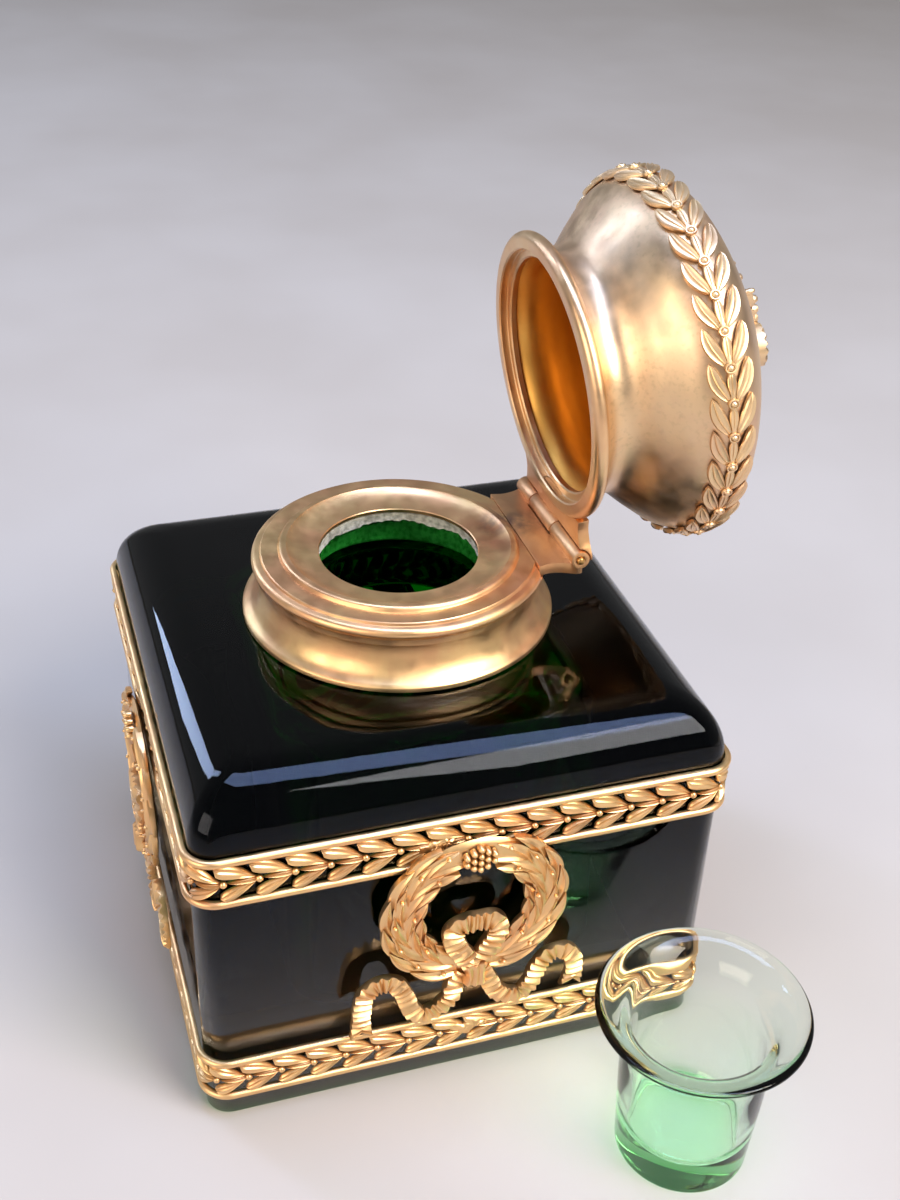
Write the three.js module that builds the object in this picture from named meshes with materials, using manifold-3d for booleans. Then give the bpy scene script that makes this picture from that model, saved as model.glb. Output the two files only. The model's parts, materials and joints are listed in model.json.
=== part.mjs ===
// Square crystal inkwell with gilt bronze mounts, its lid open and its glass liner standing beside it.
// Millimetres, +Z up. The origin is the centre of the crystal block's flat underside.
// The hinge is at the back (+Y) and the front is -Y.
import * as THREE from "three";
import { mergeVertices } from "three/addons/utils/BufferGeometryUtils.js";
import Module from "manifold-3d";

// ---- driving dimensions ----
const GAP = 0.3; // clearance between pieces that are soldered, cemented or laid together

const BLOCK_HALF = 48.5; // half the width of the crystal block
const BLOCK_HEIGHT = 75.4;
const BLOCK_CORNER = 4.5; // radius of the upright edges
const BASE_CHAMFER = 0.8;
const CUSHION_RADIUS = 11; // the rolled edge between the sides and the top
const NECK_OUTER = 20; // the block's own neck, inside the collar
const NECK_INNER = 16;
const NECK_TOP = 85.2;
const SKIRT = 1.2; // how far the plaster runs down inside the neck
const WELL_HALF = 30; // half the width of the hollow
const WELL_CORNER = 10;
const WELL_FLOOR = 13;
const WELL_SHOULDER = 67; // where the neck's bore opens into the hollow

const COLLAR_FOOT = 29.4; // radius of the collar's foot
const COLLAR_WAIST = 26.1;
const COLLAR_BEAD = 27.5; // radius of the torus round the collar's top
const COLLAR_HOLE = 14.9;
const COLLAR_LIP = 22.4; // outer radius of the raised lip
const SHELF = 88.1; // height of the flat that the closed lid sits over

const HINGE_Y = 30.5;
const HINGE_Z = 89;
const HINGE_HALF = 15; // half the length of the barrel
const KNUCKLE_RADIUS = 1.75;
const PIN_RADIUS = 0.8;
const MIDDLE_KNUCKLE = [-8, 3.2]; // the lid's knuckle along X; the collar's two lie outside it
const LEAF_THICKNESS = 2.1;
const LEAF_CHORD = 22.9; // the leaves' straight inner edge, let into the collar and the lid's rim
const LID_OPEN = 83; // degrees from closed to the stop

const RIM_BASE = 88.6; // the closed lid's lowest edge
const RIM_OUTER = 26.2;
const RIM_INNER = 23.1; // clears the collar's raised lip
const RIM_STEP = 21.4;
const RIM_TOP = 91.4;
const LID_WALL = 1.3;
const LID_TOP = 126.7;
const LID_BELLY = 33;
const GARLAND_HEIGHT = 110; // height of the garland's stem on the closed lid
const GARLAND_PAIRS = 35;

const GALLERY_SPANS = { lower_gallery: [5.5, 15.5], upper_gallery: [53.5, 64] };
const RAIL = 1.5; // width of a gallery's edge wires
const GALLERY_DEPTH = 1.5; // how far a gallery stands out from the glass
const LEAF_PITCH = 6.09; // 64 pairs in a full turn round the block
const PAIRS_PER_SIDE = 14; // on each straight side; the bends are left to the wires

const WREATH_HEIGHT = 43.5; // height of the wreath's centre
const WREATH_RADIUS = 13.2;
const WREATH_BAND = 3.1; // half the width of the wreath's ring
const WREATH_STANDOFF = 1.8; // the castings clear the galleries
const WREATH_RELIEF = 2.9;
const LOOP_WIDTH = 4;
const TAIL_WIDTH = 3.3;

const LINER_SPOT = [76.2, 33.6]; // the liner stands beside the block
const LINER_HEIGHT = 35.3;
const LINER_FLANGE = 18.8;
const LINER_BASE = 12.2;
const LINER_THROAT = 13.4;
const LINER_WALL = 1.6;
const LINER_FLOOR = 5.5; // thick pressed base

const TURN_STEPS = 32; // facets of a turned piece
const CORNER_STEPS = 5;

// ---- solids ----
const wasm = await Module();
wasm.setup();

// A closed surface as a solid, turned the right way out if its faces point inwards.
function solid(geometry) {
  const bare = geometry.clone();
  bare.deleteAttribute("normal");
  bare.deleteAttribute("uv");
  const merged = mergeVertices(bare, 1e-4);
  const index = merged.index.array;
  const kept = [];
  for (let i = 0; i < index.length; i += 3) {
    const [a, b, c] = [index[i], index[i + 1], index[i + 2]];
    if (a !== b && b !== c && c !== a) kept.push(a, b, c);
  }
  const vertProperties = merged.attributes.position.array;
  const build = (triangles) =>
    new wasm.Manifold(new wasm.Mesh({ numProp: 3, vertProperties, triVerts: new Uint32Array(triangles) }));
  const made = build(kept);
  return made.volume() < 0 ? build(kept.reverse()) : made;
}

function geometryOf(body) {
  const { numProp, numVert, vertProperties, triVerts } = body.getMesh();
  const positions = new Float32Array(numVert * 3);
  for (let i = 0; i < numVert; i++) {
    positions.set(vertProperties.subarray(i * numProp, i * numProp + 3), i * 3);
  }
  const geometry = new THREE.BufferGeometry();
  geometry.setAttribute("position", new THREE.BufferAttribute(positions, 3));
  geometry.setIndex(new THREE.BufferAttribute(triVerts, 1));
  geometry.computeVertexNormals();
  return geometry;
}

const joined = (bodies) => bodies.reduce((sum, body) => sum.add(body));

// A surface from vertices and triangles.
function indexed(vertices, triangles) {
  const geometry = new THREE.BufferGeometry().setFromPoints(vertices);
  geometry.setIndex(triangles);
  return geometry;
}

// Skins the rings, which run anticlockwise seen from above, and closes both ends with a flat fan.
function lofted(rings) {
  const count = rings[0].length;
  const vertices = rings.flat();
  const triangles = [];
  for (let ring = 0; ring + 1 < rings.length; ring++) {
    for (let i = 0; i < count; i++) {
      const next = (i + 1) % count;
      const [a, b] = [ring * count + i, ring * count + next];
      triangles.push(a, b, b + count, a, b + count, a + count);
    }
  }
  const centre = (ring) => new THREE.Vector3(0, 0, ring[0].z);
  vertices.push(centre(rings[0]), centre(rings.at(-1)));
  const last = (rings.length - 1) * count;
  for (let i = 0; i < count; i++) {
    const next = (i + 1) % count;
    triangles.push(vertices.length - 2, next, i);
    triangles.push(vertices.length - 1, last + i, last + next);
  }
  return solid(indexed(vertices, triangles));
}

// Carries a closed section round a closed path; place(station, across, out) gives each point.
function closedSweep(stations, section, place) {
  const vertices = stations.flatMap((station) => section.map(([across, out]) => place(station, across, out)));
  const triangles = [];
  const count = section.length;
  for (let s = 0; s < stations.length; s++) {
    const ahead = (s + 1) % stations.length;
    for (let i = 0; i < count; i++) {
      const next = (i + 1) % count;
      const [a, b, c, d] = [s * count + i, s * count + next, ahead * count + next, ahead * count + i];
      triangles.push(a, b, c, a, c, d);
    }
  }
  return solid(indexed(vertices, triangles));
}

// A thin prism on any surface: the outline at two heights above it, capped and walled.
function mappedPrism(outline, low, high, place) {
  const contour = outline.map(([across, along]) => new THREE.Vector2(across, along));
  if (THREE.ShapeUtils.isClockWise(contour)) contour.reverse();
  const caps = THREE.ShapeUtils.triangulateShape(contour, []);
  const layer = (height) => contour.map((point) => place(point.x, point.y, height));
  const vertices = [...layer(low), ...layer(high)];
  const count = contour.length;
  const triangles = caps.flatMap(([a, b, c]) => [c, b, a, a + count, b + count, c + count]);
  for (let i = 0; i < count; i++) {
    const next = (i + 1) % count;
    triangles.push(i, next, next + count, i, next + count, i + count);
  }
  return solid(indexed(vertices, triangles));
}

// A piece turned about +Z from [radius, height] points that run up the outside and back down the inside.
function turned(profile, steps = TURN_STEPS) {
  const points = profile.map(([radius, height]) => new THREE.Vector2(radius, height));
  return solid(new THREE.LatheGeometry(points, steps).rotateX(Math.PI / 2));
}

const turnedRing = (profile, steps) => turned([...profile, profile[0]], steps);

function rod(radius, from, to, steps = 16) {
  const geometry = new THREE.CylinderGeometry(radius, radius, to - from, steps);
  geometry.rotateZ(Math.PI / 2).translate((from + to) / 2, HINGE_Y, HINGE_Z);
  return solid(geometry);
}

function box(low, high) {
  const size = low.map((value, i) => high[i] - value);
  const middle = low.map((value, i) => (value + high[i]) / 2);
  return solid(new THREE.BoxGeometry(...size).translate(...middle));
}

// ---- the crystal block ----
// A square with round corners; a corner as large as the half width makes a circle.
function squareRing(half, corner, height) {
  const ring = [];
  for (let quarter = 0; quarter < 4; quarter++) {
    for (let step = 0; step <= CORNER_STEPS; step++) {
      const angle = ((quarter + step / CORNER_STEPS) * Math.PI) / 2;
      const turn = ((quarter + 0.5) * Math.PI) / 2;
      const reach = (half - corner) * Math.SQRT2;
      const x = reach * Math.cos(turn) + corner * Math.cos(angle);
      const y = reach * Math.sin(turn) + corner * Math.sin(angle);
      ring.push(new THREE.Vector3(x, y, height));
    }
  }
  // A circle's corners meet, so they are kept apart by a hair to leave every ring the same count.
  return ring;
}

const roundRing = (radius, height) => squareRing(radius, radius - 0.05, height);

function crystalBlock() {
  const rings = [
    squareRing(BLOCK_HALF - BASE_CHAMFER, BLOCK_CORNER - BASE_CHAMFER, 0),
    squareRing(BLOCK_HALF, BLOCK_CORNER, BASE_CHAMFER),
  ];
  for (let step = 0; step <= 6; step++) {
    const angle = (step / 6) * (Math.PI / 2);
    const inset = CUSHION_RADIUS * (1 - Math.cos(angle));
    const height = BLOCK_HEIGHT - CUSHION_RADIUS * (1 - Math.sin(angle));
    rings.push(squareRing(BLOCK_HALF - inset, BLOCK_CORNER - 0.15 * inset, height));
  }
  rings.push(roundRing(NECK_OUTER + 1.2, BLOCK_HEIGHT), roundRing(NECK_OUTER, BLOCK_HEIGHT + 1.2));
  rings.push(roundRing(NECK_OUTER, NECK_TOP), roundRing(NECK_INNER, NECK_TOP));
  rings.push(roundRing(NECK_INNER, WELL_SHOULDER + 4), roundRing(NECK_INNER + 1.6, WELL_SHOULDER + 1.6));
  rings.push(roundRing(NECK_INNER + 6, WELL_SHOULDER));
  rings.push(squareRing(WELL_HALF - 2.5, WELL_CORNER + 6, WELL_SHOULDER - 1.8));
  rings.push(squareRing(WELL_HALF, WELL_CORNER, WELL_SHOULDER - 6));
  rings.push(squareRing(WELL_HALF, WELL_CORNER, WELL_FLOOR + 5));
  rings.push(squareRing(WELL_HALF - 5, WELL_CORNER - 2, WELL_FLOOR));
  return lofted(rings);
}

// ---- the collar ----
function collarRing() {
  return turnedRing([
    [COLLAR_FOOT - 1.9, BLOCK_HEIGHT + GAP],
    [COLLAR_FOOT, BLOCK_HEIGHT + GAP],
    [COLLAR_FOOT, BLOCK_HEIGHT + 1],
    [COLLAR_FOOT - 1.7, BLOCK_HEIGHT + 2.5],
    [COLLAR_FOOT - 2.8, BLOCK_HEIGHT + 4.6],
    [COLLAR_WAIST, BLOCK_HEIGHT + 8.2],
    [COLLAR_WAIST + 0.4, BLOCK_HEIGHT + 9.4],
    [COLLAR_BEAD - 0.3, BLOCK_HEIGHT + 10.3],
    [COLLAR_BEAD, BLOCK_HEIGHT + 11.4],
    [COLLAR_BEAD - 0.6, BLOCK_HEIGHT + 12.5],
    [COLLAR_BEAD - 2, SHELF],
    [COLLAR_LIP, SHELF],
    [COLLAR_LIP - 0.5, SHELF + 0.7],
    [COLLAR_LIP - 1.4, SHELF + 0.9],
    [19.6, SHELF + 0.05],
    [17.4, SHELF - 0.5],
    [COLLAR_HOLE, SHELF - 0.75],
    [COLLAR_HOLE, SHELF - 1.5],
    [COLLAR_WAIST - 1.6, SHELF - 1.5],
    [COLLAR_WAIST - 1.6, BLOCK_HEIGHT + 5],
  ]);
}

function neckCement() {
  const inner = NECK_OUTER + GAP;
  const outer = COLLAR_WAIST - 1.6 - GAP;
  const under = BLOCK_HEIGHT + 1.2 + GAP;
  const top = SHELF - 1.5 - GAP;
  return turnedRing(
    [
      [inner + 1, under],
      [outer, under],
      [outer, top - 1],
      [LEAF_CHORD - 2 * GAP, top - 0.6],
      [LEAF_CHORD - 2 * GAP, top],
      [COLLAR_HOLE + GAP, top],
      [COLLAR_HOLE + GAP, NECK_TOP - SKIRT],
      [NECK_INNER - GAP, NECK_TOP - SKIRT],
      [NECK_INNER - GAP, NECK_TOP + GAP],
      [inner, NECK_TOP + GAP],
      [inner, under + 1],
    ],
    24,
  );
}

// ---- the hinge ----
// Seen from above: a straight edge towards the rim, waisted sides, and ears at the barrel.
function leafPlate(low) {
  const outline = new THREE.Shape();
  const corner = Math.sqrt(RIM_OUTER ** 2 - LEAF_CHORD ** 2) + 1.2;
  outline.moveTo(-corner, LEAF_CHORD);
  outline.lineTo(corner, LEAF_CHORD);
  outline.quadraticCurveTo(corner - 1.2, HINGE_Y - 3.5, HINGE_HALF, HINGE_Y);
  outline.lineTo(-HINGE_HALF, HINGE_Y);
  outline.quadraticCurveTo(1.2 - corner, HINGE_Y - 3.5, -corner, LEAF_CHORD);
  const plate = new THREE.ExtrudeGeometry(outline, {
    depth: LEAF_THICKNESS,
    bevelEnabled: false,
    curveSegments: 5,
  });
  return solid(plate.translate(0, 0, low));
}

// A leaf is its plate with its own knuckles added, and room cut for the other leaf's knuckles and the pin.
function hingeLeaf(plateLow, ownSpans, otherSpans) {
  const room = otherSpans.map(([from, to]) => rod(KNUCKLE_RADIUS + GAP, from, to));
  const knuckles = ownSpans.map(([from, to]) => rod(KNUCKLE_RADIUS, from, to));
  const bore = rod(PIN_RADIUS + GAP, -HINGE_HALF - 1, HINGE_HALF + 1, 12);
  return joined([leafPlate(plateLow).subtract(joined(room)), ...knuckles]).subtract(bore);
}

const [MIDDLE_FROM, MIDDLE_TO] = MIDDLE_KNUCKLE;
const SIDE_SPANS = [
  [-HINGE_HALF, MIDDLE_FROM - GAP / 2],
  [MIDDLE_TO + GAP / 2, HINGE_HALF],
];
const WIDE_SIDES = [
  [-HINGE_HALF - 1, MIDDLE_FROM + GAP / 2],
  [MIDDLE_TO - GAP / 2, HINGE_HALF + 1],
];
const MIDDLE_SPAN = [[MIDDLE_FROM + GAP / 2, MIDDLE_TO - GAP / 2]];
const WIDE_MIDDLE = [[MIDDLE_FROM - GAP / 2, MIDDLE_TO + GAP / 2]];
const COLLAR_LEAF_LOW = SHELF + 0.2 - LEAF_THICKNESS;
const LID_LEAF_LOW = HINGE_Z + 0.2;

function leafNotch(low, high) {
  return box([-15, LEAF_CHORD - GAP, low - GAP], [15, HINGE_Y + 5, high + GAP]);
}

function hingePin() {
  const half = HINGE_HALF + 0.6;
  const profile = [
    [0, -half],
    [PIN_RADIUS * 0.7, -half],
    [PIN_RADIUS, 0.4 - half],
    [PIN_RADIUS, half - 0.4],
    [PIN_RADIUS * 0.7, half],
    [0, half],
  ];
  const points = profile.map(([radius, height]) => new THREE.Vector2(radius, height));
  const pin = new THREE.LatheGeometry(points, 12).rotateZ(Math.PI / 2);
  return solid(pin.translate(0, HINGE_Y, HINGE_Z));
}

// ---- the lid, modelled closed ----
function lidRim() {
  const ring = turnedRing([
    [RIM_INNER, RIM_BASE],
    [RIM_OUTER - 1, RIM_BASE],
    [RIM_OUTER, RIM_BASE + 0.9],
    [RIM_OUTER, RIM_BASE + 1.7],
    [RIM_OUTER - 1.4, RIM_TOP],
    [RIM_STEP, RIM_TOP],
    [RIM_STEP, RIM_BASE + 1.6],
    [RIM_INNER, RIM_BASE + 1.6],
  ]);
  return ring.subtract(leafNotch(LID_LEAF_LOW, LID_LEAF_LOW + LEAF_THICKNESS + 2));
}

// The outside of the spun bowl, from its neck up to the crown.
const meridian = new THREE.SplineCurve(
  [
    [23.9, RIM_TOP + GAP],
    [22.7, 93.6],
    [23.1, 96.8],
    [27.2, 101],
    [31.2, 105.6],
    [LID_BELLY, 111],
    [30.6, 115.6],
    [22.6, 120.4],
    [11.3, 125],
    [0, LID_TOP],
  ].map(([radius, height]) => new THREE.Vector2(radius, height)),
);
const meridianLength = meridian.getLength();

function lidShell() {
  const steps = 12;
  const outside = [];
  const inside = [[0, LID_TOP - LID_WALL]];
  for (let i = 0; i < steps; i++) {
    const point = meridian.getPointAt(i / steps);
    outside.push([point.x, point.y]);
  }
  outside.push([0, LID_TOP]);
  for (let i = steps - 1; i > 0; i--) {
    const point = meridian.getPointAt(i / steps);
    const slope = meridian.getTangentAt(i / steps);
    inside.push([point.x - slope.y * LID_WALL, point.y + slope.x * LID_WALL]);
  }
  inside.push([outside[0][0] - LID_WALL - 0.6, RIM_TOP + GAP]);
  return turned([...inside, ...outside]);
}

// The distance up the meridian at which the bowl reaches a height.
function meridianAt(height) {
  let [low, high] = [0, 1];
  while (high - low > 1e-5) {
    const middle = (low + high) / 2;
    if (meridian.getPointAt(middle).y < height) low = middle;
    else high = middle;
  }
  return low * meridianLength;
}

// A point on the lid: an angle round it, a distance up the meridian, and a height off the metal.
function onLid(angle, up, out) {
  const share = THREE.MathUtils.clamp(up / meridianLength, 0, 1);
  const point = meridian.getPointAt(share);
  const slope = meridian.getTangentAt(share);
  const radius = point.x + slope.y * out;
  return new THREE.Vector3(radius * Math.cos(angle), radius * Math.sin(angle), point.y - slope.x * out);
}

// A band of overlapping leaf pairs: each pair is widest at its tips and narrows to its berry.
function lidGarland() {
  const middle = meridianAt(GARLAND_HEIGHT);
  const pairWidths = [
    [0.06, 3.9],
    [0.5, 2.9],
    [0.98, 0.8],
  ];
  const stations = [];
  for (let pair = 0; pair < GARLAND_PAIRS; pair++) {
    for (const [share, width] of pairWidths) {
      stations.push({ angle: ((pair + share) * 2 * Math.PI) / GARLAND_PAIRS, width });
    }
  }
  const section = [
    [-1, GAP],
    [-1, 1.2],
    [0, 1.6],
    [1, 1.2],
    [1, GAP],
    [0, GAP],
  ];
  return closedSweep(stations, section, ({ angle, width }, side, out) => onLid(angle, middle + side * width, out));
}

// A knot and bow over two crossed laurel sprigs, in low relief on the crown.
function lidFinial() {
  const crown = (x, y, out) => onLid(Math.atan2(y, x), meridianLength - Math.hypot(x, y), out);
  const petal = (turn, from, to, width, high) => {
    const outline = [
      [from, 0],
      [(from + to) / 2, -width / 2],
      [to, 0],
      [(from + to) / 2, width / 2],
    ];
    const place = (x, y, out) => {
      const angle = THREE.MathUtils.degToRad(turn);
      return crown(x * Math.cos(angle) - y * Math.sin(angle), x * Math.sin(angle) + y * Math.cos(angle), out);
    };
    return mappedPrism(outline, GAP, high, place);
  };
  const knot = turned(
    [
      [0, LID_TOP + GAP],
      [3.4, LID_TOP + GAP],
      [3.2, LID_TOP + 3.2],
      [0, LID_TOP + 4],
    ],
    12,
  );
  const bodies = [knot];
  for (const turn of [-55, -90, -125]) bodies.push(petal(turn, 1.5, 12.5, 4.4, 3));
  for (const turn of [0, 180]) bodies.push(petal(turn, 1.5, 9.5, 5.6, 3.4));
  for (const turn of [55, 125]) bodies.push(petal(turn, 1.5, 11, 3.6, 2.6));
  return joined(bodies);
}

// ---- the galleries ----
// Two laurel leaves in a chevron that points along +across, for a field of the given half height.
function leafPair(half) {
  return [
    [0.9, 0],
    [-4.6, half],
    [-6.6, half * 0.62],
    [-2.4, 0],
    [-6.6, -half * 0.62],
    [-4.6, -half],
  ];
}

function galleryRail(low, high) {
  const stations = [];
  const inner = GAP;
  const outer = GALLERY_DEPTH;
  for (let quarter = 0; quarter < 4; quarter++) {
    for (let step = 0; step <= CORNER_STEPS; step++) {
      stations.push({ turn: ((quarter + 0.5) * Math.PI) / 2, angle: ((quarter + step / CORNER_STEPS) * Math.PI) / 2 });
    }
  }
  const reach = (BLOCK_HALF - BLOCK_CORNER) * Math.SQRT2;
  const section = [
    [low, inner],
    [low + 0.3, outer],
    [high - 0.3, outer],
    [high, inner],
  ];
  return closedSweep(stations, section, ({ turn, angle }, height, out) => {
    const radius = BLOCK_CORNER + out;
    const x = reach * Math.cos(turn) + radius * Math.cos(angle);
    const y = reach * Math.sin(turn) + radius * Math.sin(angle);
    return new THREE.Vector3(x, y, height);
  });
}

function gallery([low, high]) {
  const middle = (low + high) / 2;
  const bodies = [galleryRail(low, low + RAIL), galleryRail(high - RAIL, high)];
  const pairs = [];
  const start = (-LEAF_PITCH * (PAIRS_PER_SIDE - 1)) / 2 + 2.9;
  for (let pair = 0; pair < PAIRS_PER_SIDE; pair++) {
    const place = (across, up, out) =>
      new THREE.Vector3(BLOCK_HALF + out, start + pair * LEAF_PITCH + across, middle + up);
    pairs.push(mappedPrism(leafPair((high - low) / 2 - RAIL + 0.4), GAP + 0.1, GALLERY_DEPTH - 0.2, place));
  }
  const side = joined(pairs);
  for (let quarter = 0; quarter < 4; quarter++) bodies.push(side.rotate([0, 0, 90 * quarter]));
  return joined(bodies);
}

// ---- the wreath castings ----
// The outline of a ribbon of even width along a smooth line through the points.
function ribbonOutline(points, width, steps) {
  const line = new THREE.SplineCurve(points.map(([x, y]) => new THREE.Vector2(x, y)));
  const left = [];
  const right = [];
  for (let i = 0; i <= steps; i++) {
    const point = line.getPointAt(i / steps);
    const slope = line.getTangentAt(i / steps);
    left.push([point.x - (slope.y * width) / 2, point.y + (slope.x * width) / 2]);
    right.unshift([point.x + (slope.y * width) / 2, point.y - (slope.x * width) / 2]);
  }
  return [...left, ...right];
}

// Laurel wreath tied at the foot by a ribbon with one bow loop and two tails, on the +X face.
function wreath() {
  const face = (across, up, out) => new THREE.Vector3(BLOCK_HALF + WREATH_STANDOFF + out, across, up);
  const count = 20;
  const stations = Array.from({ length: count }, (_, i) => ({
    angle: (i * 2 * Math.PI) / count,
    swell: i % 2 ? 0.9 : 1.08,
  }));
  const section = [
    [-WREATH_BAND, 0],
    [-WREATH_BAND, 1.2],
    [0, WREATH_RELIEF],
    [WREATH_BAND, 1.2],
    [WREATH_BAND, 0],
  ];
  const ring = closedSweep(stations, section, ({ angle, swell }, across, out) => {
    const radius = WREATH_RADIUS + across * swell;
    return face(radius * Math.cos(angle), WREATH_HEIGHT + radius * Math.sin(angle), out);
  });
  const loopSide = [
    [0.4, 30.8],
    [2, 33.4],
    [3.4, 35.9],
    [4.2, 38.2],
    [3.8, 40.4],
    [2, 41.2],
    [-0.8, 41.2],
  ];
  const leftTail = [
    [-1.6, 28.5],
    [-3.2, 25.4],
    [-4.2, 22],
    [-6.2, 19.4],
    [-9, 19],
    [-11.4, 21.4],
    [-13.2, 25.2],
    [-15.4, 27.9],
    [-18.2, 27.9],
    [-20.2, 25.6],
    [-20.6, 21.4],
    [-20.6, 16.6],
  ];
  const rightTail = [
    [1.6, 28.5],
    [3, 25.2],
    [4.2, 22],
    [6.4, 19.6],
    [9.4, 19.2],
    [11.8, 21.6],
    [13.6, 25.8],
    [15.6, 28.7],
    [18.2, 28.8],
    [20.2, 26.6],
    [20.7, 22.8],
    [20.3, 18.4],
  ];
  const ribbon = (points, width, high, steps) =>
    mappedPrism(ribbonOutline(points, width, steps), 0, high, face);
  const mirrored = loopSide.map(([across, up]) => [-across, up]);
  const knot = mappedPrism(
    [
      [-2.4, 25.8],
      [2.4, 25.8],
      [2.6, 31.4],
      [-2.6, 31.4],
    ],
    0,
    WREATH_RELIEF + 0.8,
    face,
  );
  return joined([
    ring,
    ribbon(loopSide, LOOP_WIDTH, WREATH_RELIEF, 7),
    ribbon(mirrored, LOOP_WIDTH, WREATH_RELIEF, 7),
    ribbon(leftTail, TAIL_WIDTH, 1.8, 13),
    ribbon(rightTail, TAIL_WIDTH, 1.8, 13),
    knot,
  ]);
}

// ---- the glass liner ----
function inkLiner() {
  const inner = LINER_THROAT - LINER_WALL;
  const profile = [
    [0, 0],
    [LINER_BASE - 0.9, 0],
    [LINER_BASE, 0.9],
    [LINER_THROAT - 0.2, LINER_HEIGHT - 13],
    [LINER_THROAT, LINER_HEIGHT - 7],
    [LINER_THROAT + 1.6, LINER_HEIGHT - 3.8],
    [LINER_FLANGE - 0.8, LINER_HEIGHT - 1.7],
    [LINER_FLANGE, LINER_HEIGHT - 0.8],
    [LINER_FLANGE - 0.6, LINER_HEIGHT],
    [LINER_FLANGE - 2.6, LINER_HEIGHT - 0.3],
    [inner + 1.4, LINER_HEIGHT - 2.8],
    [inner, LINER_HEIGHT - 6.5],
    [LINER_BASE - LINER_WALL - 0.2, LINER_FLOOR + 2],
    [LINER_BASE - LINER_WALL - 2.4, LINER_FLOOR],
    [0, LINER_FLOOR],
  ];
  return turned(profile).translate([...LINER_SPOT, 0]);
}

// ---- assembly ----
const finishes = {
  crystal: { color: 0x06180f, roughness: 0.05, metalness: 0 },
  cement: { color: 0xb9b7a8, roughness: 0.95, metalness: 0 },
  gilt: { color: 0xe0b27a, roughness: 0.35, metalness: 1 },
  brass: { color: 0xcaa567, roughness: 0.35, metalness: 1 },
  clear: { color: 0xbfe0cf, roughness: 0.03, metalness: 0 },
};

function piece(name, body, finish) {
  const mesh = new THREE.Mesh(geometryOf(body), new THREE.MeshStandardMaterial(finishes[finish]));
  mesh.name = name;
  return mesh;
}

const inkwell = new THREE.Group();
inkwell.add(piece("glass_block", crystalBlock(), "crystal"));
inkwell.add(piece("neck_cement", neckCement(), "cement"));

const notch = leafNotch(COLLAR_LEAF_LOW, SHELF + 1);
inkwell.add(piece("collar", collarRing().subtract(notch), "gilt"));
inkwell.add(piece("collar_hinge_leaf", hingeLeaf(COLLAR_LEAF_LOW, SIDE_SPANS, WIDE_MIDDLE), "gilt"));
inkwell.add(piece("hinge_pin", hingePin(), "brass"));

for (const [name, span] of Object.entries(GALLERY_SPANS)) {
  inkwell.add(piece(name, gallery(span), "gilt"));
}

const wreathSides = { right: 0, back: 90, left: 180, front: 270 };
for (const [side, turn] of Object.entries(wreathSides)) {
  const mesh = piece(`${side}_wreath`, wreath(), "gilt");
  mesh.rotation.z = THREE.MathUtils.degToRad(turn);
  inkwell.add(mesh);
}

const lid = new THREE.Group();
lid.add(piece("lid_rim", lidRim(), "brass"));
lid.add(piece("lid_shell", lidShell(), "brass"));
lid.add(piece("lid_garland", lidGarland(), "gilt"));
lid.add(piece("lid_finial", lidFinial(), "gilt"));
lid.add(piece("lid_hinge_leaf", hingeLeaf(LID_LEAF_LOW, MIDDLE_SPAN, WIDE_SIDES), "gilt"));
lid.position.set(0, -HINGE_Y, -HINGE_Z);
const lidSwing = new THREE.Group();
lidSwing.position.set(0, HINGE_Y, HINGE_Z);
lidSwing.rotation.x = -THREE.MathUtils.degToRad(LID_OPEN);
lidSwing.add(lid);
inkwell.add(lidSwing);

inkwell.add(piece("ink_liner", inkLiner(), "clear"));

export default inkwell;
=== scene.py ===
"""Looks of a square crystal inkwell with gilt bronze mounts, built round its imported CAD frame.

The builders work in millimetres in the frame's own axes: +Z is up, the front is -Y and the hinge is
at the back (+Y). The lid's pieces are shaped closed and then swung open with the frame's hinge.
"""

import json
import logging
import math
from abc import ABC, abstractmethod
from collections.abc import Callable, Sequence
from dataclasses import dataclass, field
from enum import Enum
from typing import Any

import bmesh
import bpy
import numpy as np
from mathutils import Matrix, Vector, noise


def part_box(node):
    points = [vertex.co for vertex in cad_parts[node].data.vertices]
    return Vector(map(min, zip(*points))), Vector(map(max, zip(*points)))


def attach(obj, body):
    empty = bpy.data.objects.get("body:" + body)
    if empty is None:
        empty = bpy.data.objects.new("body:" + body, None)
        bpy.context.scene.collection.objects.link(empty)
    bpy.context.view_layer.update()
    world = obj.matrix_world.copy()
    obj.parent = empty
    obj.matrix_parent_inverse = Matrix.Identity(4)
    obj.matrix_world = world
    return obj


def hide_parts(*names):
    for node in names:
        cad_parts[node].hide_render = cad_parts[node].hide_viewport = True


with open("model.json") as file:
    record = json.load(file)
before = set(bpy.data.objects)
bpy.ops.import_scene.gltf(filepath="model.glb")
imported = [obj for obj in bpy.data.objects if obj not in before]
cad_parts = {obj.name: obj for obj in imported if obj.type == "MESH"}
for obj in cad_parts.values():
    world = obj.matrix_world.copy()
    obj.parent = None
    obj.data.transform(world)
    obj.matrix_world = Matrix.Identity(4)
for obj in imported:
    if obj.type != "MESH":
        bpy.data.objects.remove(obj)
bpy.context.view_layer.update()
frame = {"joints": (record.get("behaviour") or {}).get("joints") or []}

log = logging.getLogger("inkwell")

MM = 0.001
FULL_TURN = 2 * math.pi
SPAN_STEPS = 24  # points on each span of a smooth line before it is evened out
WELD = 0.002  # points closer than this, in millimetres, are one
SLIVER = 1e-4  # the smallest radius of a stud's ring, in millimetres, so that its top closes

Profile = Sequence[Sequence[float]]
Place = Callable[[np.ndarray, np.ndarray, np.ndarray], np.ndarray]


class Body(Enum):
    """The frame's moving bodies."""

    BASE = "base"
    LID = "lid"
    LINER = "liner"


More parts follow.
